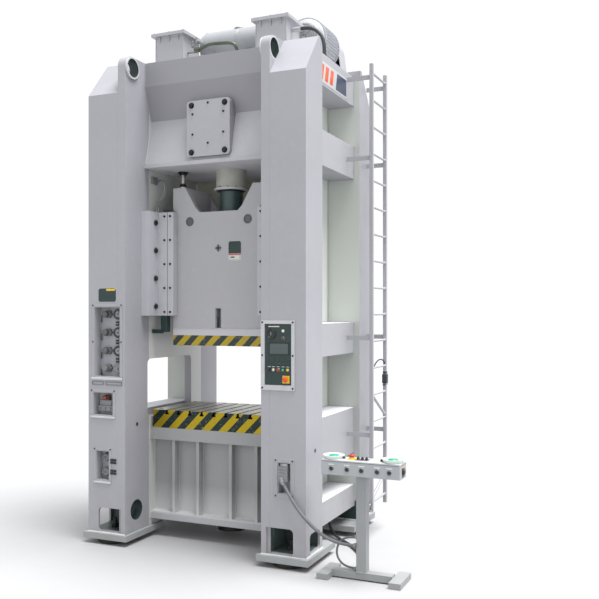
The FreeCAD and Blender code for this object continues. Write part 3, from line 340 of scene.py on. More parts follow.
# Painted shade: the wall of the round hole is painted dark.
hole_reach = pocket.distance(maths(pocket.tree, "ABSOLUTE", pocket.y), 0.790, 0.350)
pocket.tint(maths(pocket.tree, "LESS_THAN", hole_reach, 0.1108), DEEP_PAINTED_SHADE)
side_plate_enamel = pocket.close(wear=PRIMER)
print(len(bpy.data.materials), "enamels mixed for the frame")

# %% [markdown]
# The slide and the bolster carry hazard bands on the faces that meet the operator. They are
# masked-off paint on the same metal, so they are part of the finish and not separate strips:
# a repeating ramp of X and Z makes the slanting bands, and noise chips their edges.

# %% Slide and bolster
slide_low, slide_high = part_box("slide")
BAND_TOP = 2.265
slide_coat = enamel("slide_enamel", tone(168, 168, 171))
on_front = slide_coat.inside(slide_coat.y, slide_low.y - 0.01, slide_low.y + 0.002)
slide_coat.tint(slide_coat.both(on_front, slide_coat.inside(slide_coat.z, BAND_TOP, 2.344)),
    tone(186, 186, 190))
slide_coat.stripes(slide_coat.both(on_front, slide_coat.inside(slide_coat.z, 2.0, BAND_TOP)), 0.186,
    HAZARD_YELLOW, HAZARD_DARK)
under = slide_coat.inside(slide_coat.z, 2.0, slide_low.z + 0.001)
slide_coat.tint(under, tone(120, 121, 118))
slide_enamel = slide_coat.close(wear=PRIMER)

bolster_low, bolster_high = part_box("bolster")
ground = Finish("bolster_ground_steel", tone(150, 149, 140), 0.34, metal=0.75)
sweep = maths(ground.tree, "FRACT", maths(ground.tree, "MULTIPLY", ground.y, 55))
ground.tint(maths(ground.tree, "MULTIPLY", sweep, 0.18), tone(178, 177, 168))
ground.patches(5, tone(96, 92, 78), 0.55, 0.45, 0.75)
# Painted shade: the walls of the T-slots below the top face are painted nearly black.
deep_slot = ground.both(ground.inside(ground.z, 1.30, bolster_high.z - 0.004),
    ground.mirrored(ground.x, 0, 0.70), ground.inside(ground.y, bolster_low.y + 0.003, 1))
ground.tint(deep_slot, tone(44, 42, 38))
front_face = ground.inside(ground.y, bolster_low.y - 0.01, bolster_low.y + 0.002)
ground.stripes(front_face, 0.212, HAZARD_YELLOW, HAZARD_DARK)
bolster_steel = ground.close(edge=0.003, wear=tone(200, 198, 188), grain=90, bump=0.12)
print("hazard bands on", round(slide_high.x - slide_low.x, 2), "m of slide")

# %% [markdown]
# The rest of the machine needs a small family of ordinary finishes: blackened and bright steel,
# cast iron, rubber, moulded plastics and a few signal colours. One function with the shared
# recipe makes them from a table: the material's name, its colour, its roughness, how metallic it
# is, the colour of its patches and, for rubber, a stronger grain. Corners are rubbed paler.

# %% The small family of finishes
def plain(name, colour, rough, metal, patch, bump=0.08):
    coat = Finish(name, tone(*colour), rough, metal)
    coat.patches(6.0, tone(*patch), 0.6, 0.4, 0.7)
    worn = tuple(min(1, value * 1.5 + 0.03) for value in tone(*colour))
    return coat.close(wear=worn, bump=bump)


RECIPES = {
    "receiver": ("receiver_enamel", (150, 153, 156), 0.40, 0, (141, 144, 145)),
    "motor": ("motor_enamel", (176, 178, 184), 0.45, 0, (167, 169, 174)),
    "white": ("white_enamel", (186, 187, 189), 0.36, 0, (172, 174, 174)),
    "guide": ("guide_enamel", (178, 178, 171), 0.42, 0, (154, 153, 140)),
    "dark_steel": ("blackened_steel", (40, 42, 44), 0.42, 0.6, (62, 60, 56)),
    "plunger": ("plunger_steel", (70, 88, 87), 0.40, 0.2, (58, 74, 73)),
    "bright": ("machined_steel", (178, 178, 174), 0.28, 0.9, (140, 138, 128)),
    "zinc": ("zinc_steel", (150, 152, 154), 0.34, 0.8, (118, 116, 110)),
    "cast": ("turned_cast_iron", (106, 108, 108), 0.45, 0.6, (72, 70, 66)),
    "rubber": ("black_rubber", (34, 34, 35), 0.75, 0, (58, 57, 54), 0.2),
    "belt": ("belt_rubber", (28, 28, 29), 0.8, 0, (46, 45, 43), 0.25),
    "panel": ("panel_enamel", (182, 183, 186), 0.36, 0, (170, 171, 173)),
    "fascia": ("fascia_green", (30, 52, 50), 0.30, 0, (22, 40, 40)),
    "screen": ("screen_glass", (74, 84, 84), 0.12, 0, (60, 70, 71)),
    "lamp": ("lamp_lens", (216, 214, 188), 0.15, 0, (196, 190, 150)),
    "grey": ("device_grey", (122, 124, 126), 0.45, 0, (98, 100, 102)),
    "dull": ("dull_grey", (120, 122, 121), 0.55, 0, (104, 106, 105)),
    "shade": ("shaded_grey", (92, 94, 95), 0.5, 0, (74, 76, 77)),
    "splash": ("splash_sheet_paint", (182, 182, 168), 0.5, 0, (158, 157, 140)),
    "lock": ("lock_switch_case", (54, 60, 62), 0.45, 0, (40, 44, 46)),
    "card": ("gauge_card", (134, 136, 135), 0.5, 0, (120, 122, 121)),
    "black": ("black_plastic", (30, 31, 33), 0.38, 0, (44, 45, 47)),
    "red": ("signal_red", (190, 46, 32), 0.28, 0, (160, 34, 26)),
    "orange": ("signal_orange", (214, 84, 28), 0.28, 0, (190, 66, 24)),
    "yellow": ("signal_yellow", (222, 186, 34), 0.34, 0, (196, 160, 30)),
    "green": ("palm_green", (58, 150, 118), 0.30, 0, (44, 124, 98)),
    "mint": ("cup_mint", (206, 222, 216), 0.30, 0, (186, 208, 200)),
    "dial": ("dial_card", (206, 207, 200), 0.5, 0, (188, 188, 180)),
    "conduit": ("conduit_sheath", (104, 105, 110), 0.46, 0, (82, 83, 88)),
    "cable": ("dark_sheath", (44, 46, 48), 0.55, 0, (60, 61, 62)),
    "olive": ("olive_pipe", (86, 92, 78), 0.4, 0.3, (60, 64, 52)),
    "copper": ("brown_terminal", (120, 74, 58), 0.4, 0.4, (88, 54, 44)),
}
FINISHES = {word: plain(*recipe) for word, recipe in RECIPES.items()}
print(len(FINISHES), "further finishes")

# %% [markdown]
# Each CAD node that stays in view keeps its exact mesh and only changes its material slot. The
# table says in one place which piece of the press wears which finish.

# %% Dressing the CAD nodes
DRESSING = {
    plain_enamel: ["balancer_cylinders", "ladder", "recess_boxes", "ladder_brackets"],
    guard_enamel: ["flywheel_guard"],
    cover_enamel: ["crown_cover"],
    foot_enamel: ["foot_plates"],
    gib_enamel: ["gib_front_left", "gib_front_right", "gibs_rear"],
    bed_enamel_painted_light: ["bed"],
    stand_enamel_painted_shade: ["console_stand"],
    console_enamel: ["console_box"],
    beam_enamel: ["side_beams"],
    crown_enamel: ["crown"],
    sleeve_enamel: ["lifting_sleeves"],
    column_enamel: ["front_upright_left", "front_upright_right", "rear_upright_left",
                    "rear_upright_right"],
    side_plate_enamel: ["side_plate_left", "side_plate_right"],
    slide_enamel: ["slide"],
    bolster_steel: ["bolster"],
}
FINISH_NODES = {
    "receiver": ["air_receiver"], "motor": ["drive_motor"],
    "guide": ["plunger_guide"], "plunger": ["plunger"], "panel": ["control_panel"],
    "dark_steel": ["cap_screws", "cushion_cylinder", "cushion_piston", "knockout_bar"],
    "bright": ["balancer_rods", "crankshaft", "connecting_rod", "pinion_shaft", "main_gear"],
    "cast": ["flywheel", "motor_pulley"], "rubber": ["isolation_pads"], "belt": ["drive_belts"],
    "lamp": ["panel_lamps"], "grey": ["air_panel_devices", "conduit_socket"],
    "black": ["panel_mode_switch"], "orange": ["panel_estop"], "red": ["console_estop"],
    "green": ["palm_button_left", "palm_button_right", "panel_start_button"],
    "mint": ["button_cups"],
    "dull": ["regulator_knob_4"],
    "shade": ["regulator_knob_1", "regulator_knob_2", "regulator_knob_3"],
}


def dress(node, material):
    slots = nodes[node].data.materials
    slots.clear()
    slots.append(material)


for material, names in DRESSING.items():
    for name in names:
        dress(name, material)
for word, names in FINISH_NODES.items():
    for name in names:
        dress(name, FINISHES[word])
print(sum(map(len, DRESSING.values())) + sum(map(len, FINISH_NODES.values())), "nodes dressed")

# %% [markdown]
# A studio for a machine this size is a pale floor, a bright overcast surround and one large lamp
# high on the right. The floor is one face, big enough to pass behind the press at any angle.

# %% Floor
floor_mesh = bpy.data.meshes.new("studio_floor")
REACH = 60
floor_mesh.from_pydata([(-REACH, -REACH, 0), (REACH, -REACH, 0), (REACH, REACH, 0),
    (-REACH, REACH, 0)], [], [(0, 1, 2, 3)])
floor = bpy.data.objects.new("studio_floor", floor_mesh)
floor.location.z = -0.002
bpy.context.collection.objects.link(floor)
floor_coat = Finish("studio_floor", tone(160, 160, 161), 0.7)
floor_coat.patches(0.3, tone(157, 157, 158), 0.4)
floor.data.materials.append(floor_coat.close(grain=20, bump=0.02))

print("floor laid", 2 * REACH, "m wide")

# %% [markdown]
# The lamp is a sun, whose light falls evenly on a machine of any height. Its wide angle gives the
# broad soft shadows of a lit hall, and leaves the front faces a little darker than the right-hand
# sides, which shows the columns' depth. The surround fills the shadows.

# %% Lamp and surround
lamp_data = bpy.data.lights.new("high_lamp", "SUN")
lamp_data.energy = 6.3
lamp_data.angle = math.radians(35)
high_lamp = bpy.data.objects.new("high_lamp", lamp_data)
lamp_towards = Vector((0.30, 0.0, 0.954))
high_lamp.rotation_euler = lamp_towards.to_track_quat("Z", "Y").to_euler()
bpy.context.collection.objects.link(high_lamp)

sky = bpy.data.worlds.new("bright_surround")
sky.use_nodes = True
sky.node_tree.nodes["Background"].inputs["Color"].default_value = (0.985, 0.99, 1.0, 1)
sky.node_tree.nodes["Background"].inputs["Strength"].default_value = 1.03
bpy.context.scene.world = sky
print("one lamp and a bright surround")

# %% [markdown]
# The cords come before the small parts, because their room decides what can stand near them.
# Each one is a NURBS curve through the route's control points, which bends evenly the way a stiff
# sheath does. A hose under air keeps a smooth skin; the signal conduit has a ribbed sheath, so its
# ribs are real rings set along the same curve and not a bump.

# %% Cord helpers
def route_curve(name, route, radius):
    """An open NURBS spline through a route given in millimetres; radius 0 keeps it a bare line."""
    data = bpy.data.curves.new(name, "CURVE")
    data.dimensions = "3D"
    data.resolution_u = 10
    data.bevel_depth = radius
    data.bevel_resolution = 5
    data.use_fill_caps = True
    spline = data.splines.new("NURBS")
    spline.points.add(len(route) - 1)
    for control, (x, y, z) in zip(spline.points, route):
        control.co = (x / 1000, y / 1000, z / 1000, 1)
    spline.use_endpoint_u = True
    spline.order_u = 3
    cord = bpy.data.objects.new(name, data)
    bpy.context.collection.objects.link(cord)
    return cord


def centreline(route):
    """Points read from the route's own spline, close together, as plain vectors."""
    guide = route_curve("guide", route, 0)
    bpy.context.view_layer.update()
    line = bpy.data.meshes.new_from_object(guide.evaluated_get(bpy.context.evaluated_depsgraph_get()))
    points = [vertex.co.copy() for vertex in line.vertices]
    bpy.data.meshes.remove(line)
    bpy.data.objects.remove(guide)
    return points


def length_of(points):
    return sum((after - before).length for before, after in zip(points, points[1:]))


def even_steps(points, step):
    """The same line, with points at an even distance."""
    total = length_of(points)
    count = max(2, round(total / step))
    result, travelled, index = [], 0.0, 0
    for number in range(count + 1):
        goal = total * number / count
        while index < len(points) - 2:
            run = (points[index + 1] - points[index]).length
            if travelled + run >= goal:
                break
            travelled += run
            index += 1
        run = (points[index + 1] - points[index]).length
        share = min(1.0, (goal - travelled) / run)
        result.append(points[index].lerp(points[index + 1], share))
    return result


SIGNAL_CONDUIT = [(1072, -1036, 850), (1160, -1040, 700), (1285, -1045, 550), (1420, -1048, 432),
    (1560, -1046, 355), (1700, -1036, 322), (1832, -1036, 322)]
POST_LOOP = [(1832, -985, 388), (1752, -985, 388), (1668, -990, 356), (1622, -996, 280),
    (1622, -998, 193), (1674, -998, 124), (1752, -992, 96), (1832, -992, 96)]
FLOOR_CABLE = [(1034, 300, 283), (1034, 300, 210), (1052, 272, 120), (1110, 222, 48), (1200, 150, 20),
    (1320, 52, 18), (1445, -75, 18), (1558, -225, 18), (1655, -385, 18), (1735, -545, 20),
    (1800, -685, 34), (1846, -790, 78), (1868, -872, 112), (1868, -942, 112)]
ROOF_HOSE = [(930, -260, 5575), (1018, -260, 5575), (1101, -260, 5541), (1164, -260, 5478),
    (1196, -260, 5397), (1202, -260, 5313), (1202, -260, 5236)]
print("conduit", round(length_of(centreline(SIGNAL_CONDUIT)), 3), "m along its curve")

# %% [markdown]
# A ring of vertices that rides along a line makes every tube, rib and weld bead in this lesson.
# `Workpiece` collects rings, blocks and turned profiles until one piece is complete, then makes a
# single mesh with its sharp edges marked. Building plain vertex lists is quicker than hundreds of
# bevel modifiers, and each block still gets a true chamfer on all its edges. `around` gives the
# places of whatever is set in a circle. A piece rides on the frame unless it names another body.

# %% The workpiece
def square_to(direction):
    """A unit vector square to a direction."""
    helper = Vector((0, 0, 1)) if abs(direction.z) < 0.9 else Vector((1, 0, 0))
    return direction.cross(helper).normalized()


def around(x, z, reach, count, first=0.0, step=None):
    """Places on a circle as (x, z) pairs; angles are in degrees."""
    angles = [math.radians(first + (step or 360 / count) * number) for number in range(count)]
    return [(x + reach * math.cos(angle), z + reach * math.sin(angle)) for angle in angles]


class Workpiece:
    """The points and faces of one piece, before they become a mesh."""

    def __init__(self):
        self.points = []
        self.faces = []

    def put(self, points, faces):
        start = len(self.points)
        self.points += [Vector(point) for point in points]
        self.faces += [tuple(start + corner for corner in face) for face in faces]
        return self

    def block(self, x, y, z, chamfer=0.0015):
        """A block whose twelve edges and eight corners are chamfered."""
        ends = (x, y, z)
        signs = [(a, b, c) for a in (0, 1) for b in (0, 1) for c in (0, 1)]
        index, points = {}, []
        for corner in signs:
            for axis in range(3):
                spot = []
                for other in range(3):
                    value = ends[other][corner[other]]
                    inset = 0 if other == axis else chamfer * (1 - 2 * corner[other])
                    spot.append(value + inset)
                index[corner, axis] = len(points)
                points.append(spot)
        faces = []
        for axis in range(3):
            b, c = [other for other in range(3) if other != axis]
            for end in (0, 1):
                loop = []
                for first, second in ((0, 0), (1, 0), (1, 1), (0, 1)):
                    corner = [0, 0, 0]
                    corner[axis], corner[b], corner[c] = end, first, second
                    loop.append(index[tuple(corner), axis])
                faces.append(loop)
            for first in (0, 1):
                for second in (0, 1):
                    near, far = [0, 0, 0], [0, 0, 0]
                    far[axis] = 1
                    near[b] = far[b] = first
                    near[c] = far[c] = second
                    near, far = tuple(near), tuple(far)
                    faces.append([index[near, b], index[far, b], index[far, c], index[near, c]])
        faces += [[index[corner, 0], index[corner, 1], index[corner, 2]] for corner in signs]
        return self.put(points, faces)

    def rings(self, rings, closed=False):
        """Skin a list of rings with the same number of points; one-point rings are tips."""
        points, starts = [], []
        for ring in rings:
            starts.append(len(points))
            points += ring
        faces = []
        pairs = list(zip(range(len(rings)), range(1, len(rings))))
        if closed:
            pairs.append((len(rings) - 1, 0))
        for low, high in pairs:
            sides = max(len(rings[low]), len(rings[high]))
            for side in range(sides):
                ahead = (side + 1) % sides
                face = []
                for ring, order in ((low, (side, ahead)), (high, (ahead, side))):
                    if len(rings[ring]) == 1:
                        face.append(starts[ring])
                    else:
                        face += [starts[ring] + step for step in order]
                faces.append(face)
        return self.put(points, faces)

    def turn(self, axis, centre, outline, steps=28, out=1):
        """A turned profile: (radius, distance) pairs, or (radius, distance, sides) for a hexagon."""
        rings = []
        for radius, distance, *sides in outline:
            ring = []
            for step in range(steps if radius > 0 else 1):
                angle = math.tau * step / steps
                reach = radius
                if sides:
                    sector = math.tau / sides[0]
                    reach = radius * math.cos(sector / 2) / math.cos(angle % sector - sector / 2)
                across, up = reach * math.cos(angle), reach * math.sin(angle)
                along = distance * out
                offset = {"X": (along, across, up), "Y": (across, along, up),
                    "Z": (across, up, along)}[axis]
                ring.append(Vector(centre) + Vector(offset))
            rings.append(ring)
        return self.rings(rings, closed=outline[0][0] > 0 and outline[-1][0] > 0)

    def tube(self, line, radius, sides=12):
        """A tube along a line; radius is a number or one value for each point."""
        radii = radius if isinstance(radius, list) else [radius] * len(line)
        rings = []
        across = square_to((line[1] - line[0]).normalized())
        for index, spot in enumerate(line):
            before, after = line[max(0, index - 1)], line[min(len(line) - 1, index + 1)]
            heading = (after - before).normalized()
            across = (across - heading * across.dot(heading)).normalized()
            up = heading.cross(across)
            rings.append([spot + (across * math.cos(math.tau * step / sides)
                + up * math.sin(math.tau * step / sides)) * radii[index] for step in range(sides)])
        return self.rings([[line[0]]] + rings + [[line[-1]]])

    def slab(self, axis, outline, low, high):
        """A flat outline pushed from low to high along an axis."""
        def spot(u, v, depth):
            return {"X": (depth, u, v), "Y": (u, depth, v), "Z": (u, v, depth)}[axis]
        count = len(outline)
        points = [spot(u, v, depth) for depth in (low, high) for u, v in outline]
        faces = [list(range(count)), list(range(count, 2 * count))]
        for side in range(count):
            ahead = (side + 1) % count
            faces.append([side, ahead, count + ahead, count + side])
        return self.put(points, faces)

    def bead(self, start, end, size=0.009):
        """A hand-laid weld: a half-buried tube whose ripples follow the torch."""
        start, end = Vector(start), Vector(end)
        steps = max(4, round((end - start).length / (size * 1.1)))
        line = [start.lerp(end, step / steps) for step in range(steps + 1)]
        radii = [size * random.uniform(0.88, 1.12) for _ in line]
        return self.tube(line, radii, 6)


def piece(name, work, finish, body="frame"):
    """Make the mesh, mark its sharp edges, paint it and let it ride on its body."""
    mesh = bpy.data.meshes.new(name)
    mesh.from_pydata(work.points, [], work.faces)
    tidy = bmesh.new()
    tidy.from_mesh(mesh)
    bmesh.ops.recalc_face_normals(tidy, faces=tidy.faces)
    tidy.to_mesh(mesh)
    tidy.free()
    mesh.shade_smooth()
    mesh.set_sharp_from_angle(angle=math.radians(32))
    mesh.materials.append(finish if isinstance(finish, bpy.types.Material) else FINISHES[finish])
    made = bpy.data.objects.new(name, mesh)
    bpy.context.collection.objects.link(made)
    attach(made, body)
    return made


random.seed(7)
print("bench ready")

# %% [markdown]
# The conduit from the press to the console and the loop beside the stand are coiled steel strip
# under a grey sheath. The radius swells and shrinks along the line, one rib every 13 mm. The floor
# cable and the roof hose are ordinary curves with a round section, which stay light and smooth.
# Each cord stands in for the plain CAD cord of the same route.

# %% Laying the cords
RIB = 0.013


def ribbed_cord(name, node, route, radius):
    line = even_steps(centreline(route), RIB / 4)
    swell = [radius - 0.0011 * (1 - math.cos(math.tau * step / 4)) for step in range(len(line))]
    cord = piece(name, Workpiece().tube(line, swell, 16), "conduit")
    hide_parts(node)


def smooth_cord(name, node, route, radius, finish):
    cord = route_curve(name, route, radius)
    cord.data.materials.append(FINISHES[finish])
    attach(cord, "frame")
    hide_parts(node)
    line = centreline(route)


ribbed_cord("ribbed_console_conduit", "console_conduit", SIGNAL_CONDUIT, 0.017)
ribbed_cord("ribbed_post_loop", "post_loop_cable", POST_LOOP, 0.011)
smooth_cord("console_floor_cable", "floor_cable", FLOOR_CABLE, 0.015, "cable")
smooth_cord("balancer_roof_hose", "roof_hose", ROOF_HOSE, 0.020, "cable")
print("four cords laid")

# %% [markdown]
# Screws hold nearly every cover on the press, and each kind is modelled once: a cap screw with a
# hexagon socket, a hexagon bolt on a washer, and a pan head for thin panels, with a raised bar
# across it where it faces the operator. A whole row of screws is one piece, which keeps the list
# of pieces short.

# %% Fasteners
def cap_screw(work, axis, spot, radius, out):
    work.turn(axis, spot, [(0, -0.001), (radius, -0.001), (radius, radius * 0.85),
        (radius * 0.86, radius), (radius * 0.52, radius, 6), (radius * 0.5, radius * 0.35, 6),
        (0, radius * 0.35)], 24, out)


def hex_bolt(work, axis, spot, radius, out):
    work.turn(axis, spot, [(0, -0.001), (radius * 1.45, -0.001), (radius * 1.45, radius * 0.2),
        (radius * 1.1, radius * 0.22, 6), (radius * 1.1, radius * 0.8, 6),
        (radius * 0.9, radius * 0.95), (0, radius * 0.95)], 24, out)


def pan_screw(work, axis, spot, radius, out):
    work.turn(axis, spot, [(0, -0.001), (radius, -0.001), (radius * 0.96, radius * 0.28),
        (radius * 0.6, radius * 0.5), (0, radius * 0.56)], 16, out)
    x, y, z = spot
    lift, half, slit = radius * 0.52 * out, radius * 0.75, radius * 0.11
    if axis == "Y":
        work.block((x - half, x + half), sorted((y + lift, y + lift * 1.25)), (z - slit, z + slit),
            0.0002)


def screw_set(name, kind, axis, spots, radius, out, finish="dark_steel"):
    work = Workpiece()
    for spot in spots:
        kind(work, axis, spot, radius, out)
    piece(name, work, finish)


COVER_FACE = -0.640
COVER_PLACES = ((0, 4.786), (-0.19, 4.676), (0.19, 4.676), (-0.19, 4.456), (0.19, 4.456), (0, 4.351))
cover_spots = [(x, COVER_FACE, z) for x, z in COVER_PLACES]
screw_set("crown_cover_small_screws", cap_screw, "Y", cover_spots, 0.011, -1)
sockets = Workpiece()
for x in (-0.205, 0.205):
    for z in (4.262, 4.772):
        sockets.turn("Y", (x, -0.660, z), [(0.033, 0.019), (0.033, 0.0165), (0.0245, 0.0165),
            (0.0245, 0.019)], 28)
        sockets.turn("Y", (x, -0.660, z), [(0, -0.0005), (0.0125, -0.0005, 6), (0.0125, 0.004, 6),
            (0, 0.004)], 24)
piece("crown_cover_screw_seats", sockets, "dark_steel")
print("crown cover fastened")

# %% [markdown]
# A press frame is a weldment. Where a beam meets a column, or a rib meets the bed, the fitter lays
# a ripple of weld and the paint softens it. The beads are thin rippled tubes, half sunk in both
# plates, in the same enamel as the frame. Their ripple is random, from the seed set at the bench.

# %% Weld seams of the frame
BEAMS = [(4.903, 5.236), (4.063, 4.435), (2.056, 2.406), (0.900, 1.424), (0.283, 0.534)]
PLATE_IN, PLATE_OUT, BEAM_OUT, COLUMN_OUT = 0.815, 0.910, 1.231, 1.300
BED_RIB_FOOT, BED_RIB_TOP = 0.279, 1.091
seams = Workpiece()
for side in (-1, 1):
    for low, high in BEAMS:
        for depth in (-0.565, 0.590):
            for height in (low, high):
                seams.bead((side * PLATE_OUT, depth, height), (side * BEAM_OUT, depth, height))
            seams.bead((side * BEAM_OUT, depth, low), (side * BEAM_OUT, depth, high))
        for height in (low, high):
            seams.bead((side * PLATE_OUT, -0.565, height), (side * PLATE_OUT, 0.590, height), 0.007)
piece("side_beam_welds", seams, plain_enamel)

print("beams welded at", len(BEAMS), "heights on each side")

# %% [markdown]
# The bed's front and rear panels are stiffened by upright ribs, so each rib has a seam down both
# of its edges and the panel has one all round. Short seams close the corners of the bed's lips.

# %% Weld seams of the bed
bed_low, bed_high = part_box("bed")
BED_PANEL = bed_low.y + 0.100
BED_REAR_PANEL = bed_high.y - 0.100
bed_seams = Workpiece()
for panel in (BED_PANEL, BED_REAR_PANEL):
    for centre in (-0.514, -0.204, 0.204, 0.514):
        for edge in (centre - 0.018, centre + 0.018):
            bed_seams.bead((edge, panel, BED_RIB_FOOT), (edge, panel, BED_RIB_TOP), 0.010)
    for edge in (-PLATE_IN, PLATE_IN):
        bed_seams.bead((edge, panel, BED_RIB_FOOT), (edge, panel, BED_RIB_TOP), 0.012)
    for height in (BED_RIB_FOOT, BED_RIB_TOP):
        bed_seams.bead((-PLATE_IN, panel, height), (PLATE_IN, panel, height), 0.012)
for edge in (-PLATE_IN, PLATE_IN):
    bed_seams.bead((edge, bed_low.y, 0.195), (edge, bed_low.y, BED_RIB_FOOT), 0.008)
    bed_seams.bead((edge, bed_low.y, BED_RIB_TOP), (edge, bed_low.y, 1.226), 0.008)
piece("bed_welds", bed_seams, bed_enamel_painted_light)

print("bed welded", round(BED_REAR_PANEL - BED_PANEL, 3), "m apart, front to rear")

# %% [markdown]
# The uprights stand on the foot plates with a heavy seam round three sides. The crown's folded
# plates meet the side plates along a line that follows the fold, in the crown's own shade.

# %% Weld seams of the feet and the crown
FOOT_TOP = 0.118
CROWN_UNDER = 4.134
foot_seams = Workpiece()
for side in (-1, 1):
    for front, back in ((-1.0, -0.565), (0.590, 1.0)):
        for depth in (front, back):
            foot_seams.bead((side * PLATE_IN, depth, FOOT_TOP), (side * COLUMN_OUT, depth, FOOT_TOP),
                0.010)
        foot_seams.bead((side * COLUMN_OUT, front, FOOT_TOP), (side * COLUMN_OUT, back, FOOT_TOP), 0.010)
    for way in (-1, 1):
        foot_seams.bead((side * PLATE_IN, way * 0.45, CROWN_UNDER),
            (side * PLATE_IN, way * 0.62, CROWN_UNDER), 0.008)
piece("foot_welds", foot_seams, bed_enamel_painted_light)
crown_seams = Workpiece()
for edge in (-PLATE_IN, PLATE_IN):
    for sign in (-1, 1):
        crown_seams.bead((edge, sign * 0.624, 5.046), (edge, sign * 0.624, 5.300), 0.010)
        crown_seams.bead((edge, sign * 0.624, 5.046), (edge, sign * 0.500, 4.679), 0.010)
        crown_seams.bead((edge, sign * 0.500, 4.679), (edge, sign * 0.610, 4.175), 0.010)
piece("crown_welds", crown_seams, crown_enamel)
print("weld seams laid")

# %% [markdown]
# Inside each hollow foot an anchor stud comes up through the foot plate, with a nut and a lock nut that
# level the press on its rubber pad. They show through the foot windows. A blanking disc over one round
# hole of the side plate takes the columns' dark inside paint, a painted shade for the hole. Ribs run
# round each rubber pad.

# %% Levelling nuts
FEET = [(x, y) for x in (-1.07, 1.07) for y in (-0.83, 0.83)]
levellers, pad_rings = Workpiece(), Workpiece()
for x, y in FEET:
    levellers.turn("Z", (x, y, FOOT_TOP), [(0, 0.0), (0.055, 0.0), (0.055, 0.008), (0.040, 0.0085, 6),
        (0.040, 0.040, 6), (0.037, 0.042, 6), (0.040, 0.044, 6), (0.040, 0.066, 6), (0.022, 0.068),
        (0.022, 0.128), (0.019, 0.132), (0, 0.132)], 24)
    pad_rings.turn("Z", (x, y, 0), [(0.184, 0.010), (0.189, 0.012), (0.189, 0.015), (0.1845, 0.0165),
        (0.189, 0.018), (0.189, 0.021), (0.184, 0.023)], 64)
piece("levelling_nuts", levellers, "dark_steel")
# Painted shade: the disc is painted dark by the column enamel's inside mask.
shaded_blank = Workpiece().turn("X", (PLATE_OUT, -0.790, 0.350), [(0, -0.001), (0.126, -0.001),
    (0.126, 0.004), (0.124, 0.006), (0, 0.006)], 40)
piece("low_hole_shaded_blank", shaded_blank, column_enamel)
piece("isolation_pad_ribs", pad_rings, "rubber")
print(len(FEET), "feet levelled")

# %% [markdown]
# Each front gib is an L-shaped guide with a wear strip clamped on its toe. Its four large screws
# are CAD pieces; what is added here are their washers, the two rows of small set screws, the
# joint line of the strip and the end stops above and below that keep the strip from creeping.

# %% Gib details
TOE_FACE = -0.500
TOE_ROWS = (3.602, 3.335, 3.065, 2.796, 2.526)
toe_spots = [(side * x, TOE_FACE, z) for side in (-1, 1) for x in (0.565, 0.640) for z in TOE_ROWS]
screw_set("gib_strip_screws", cap_screw, "Y", toe_spots, 0.012, -1)
strips = Workpiece()
for side in (-1, 1):
    edges = sorted((side * 0.600, side * 0.604))
    strips.block(edges, (TOE_FACE - 0.0015, TOE_FACE + 0.001), (2.487, 3.646), 0.0004)
piece("gib_joint_lines", strips, "black")
washers = Workpiece()
for side in (-1, 1):
    for z in (2.589, 2.903, 3.216, 3.529):
        washers.turn("X", (side * 0.720, -0.560, z), [(0.026, 0), (0.037, 0), (0.037, 0.004),
            (0.026, 0.004)], 28, -side)
piece("gib_screw_washers", washers, "zinc")
stops = Workpiece()
for side in (-1, 1):
    for x, y, z in (((0.612, 0.690), (-0.505, -0.425), (2.300, 2.484)),
            ((0.690, 0.812), (-0.495, -0.435), (2.285, 2.330)),
            ((0.560, 0.660), (-0.498, -0.430), (3.650, 3.676))):
        stops.block(sorted((side * x[0], side * x[1])), y, z, 0.003)
piece("gib_end_stops", stops, "fascia")
print(len(toe_spots), "set screws in the gib strips")

# %% [markdown]
# The slide front carries two plugged bores, one cross-slotted locating bolt on a disc, a bare
# instruction plate and the lined slot of the knock-out bar. All of them ride on the slide, so
# they go down with it through the whole stroke.

# %% Slide details
SLIDE_FACE = slide_low.y
LOCATOR_Z, FLANGE_TOP, SLOT_TOP = 3.233, 2.345, 2.560
plugs = Workpiece()
for x in (-0.365, 0.365):
    plugs.turn("Y", (x, SLIDE_FACE, 3.540), [(0, 0.002), (0.030, 0.002), (0.034, 0.006),
        (0.042, 0.006), (0.045, 0.001), (0.0505, 0.001), (0.0515, 0.003), (0.0515, 0.020), (0, 0.020)],
        48)
piece("slide_bore_plugs", plugs, "shade", "slide")
locator_disc = Workpiece().turn("Y", (0, SLIDE_FACE, LOCATOR_Z),
    [(0, -0.004), (0.030, -0.004), (0.033, -0.001), (0.033, 0.001), (0, 0.001)], 36)
piece("slide_locating_disc", locator_disc, "grey", "slide")
locator = Workpiece()
for half_x, half_z in ((0.040, 0.004), (0.004, 0.040)):
    locator.block((-half_x, half_x), (SLIDE_FACE - 0.007, SLIDE_FACE - 0.001),
        (LOCATOR_Z - half_z, LOCATOR_Z + half_z), 0.001)
locator.turn("Y", (0, SLIDE_FACE, LOCATOR_Z), [(0, -0.009), (0.012, -0.009), (0.014, -0.004),
    (0, -0.004)], 24)
piece("slide_locating_bolt", locator, "dark_steel", "slide")

print("slide front stands at", round(SLIDE_FACE, 3), "m")

# %% [markdown]
# A bare plate is one helper, because several are needed: a thin block with a screw in each
# corner, and fields of colour stacked on it, each a little prouder than the last so that none of
# them share a plane. It keeps the look of a printed plate without any words.

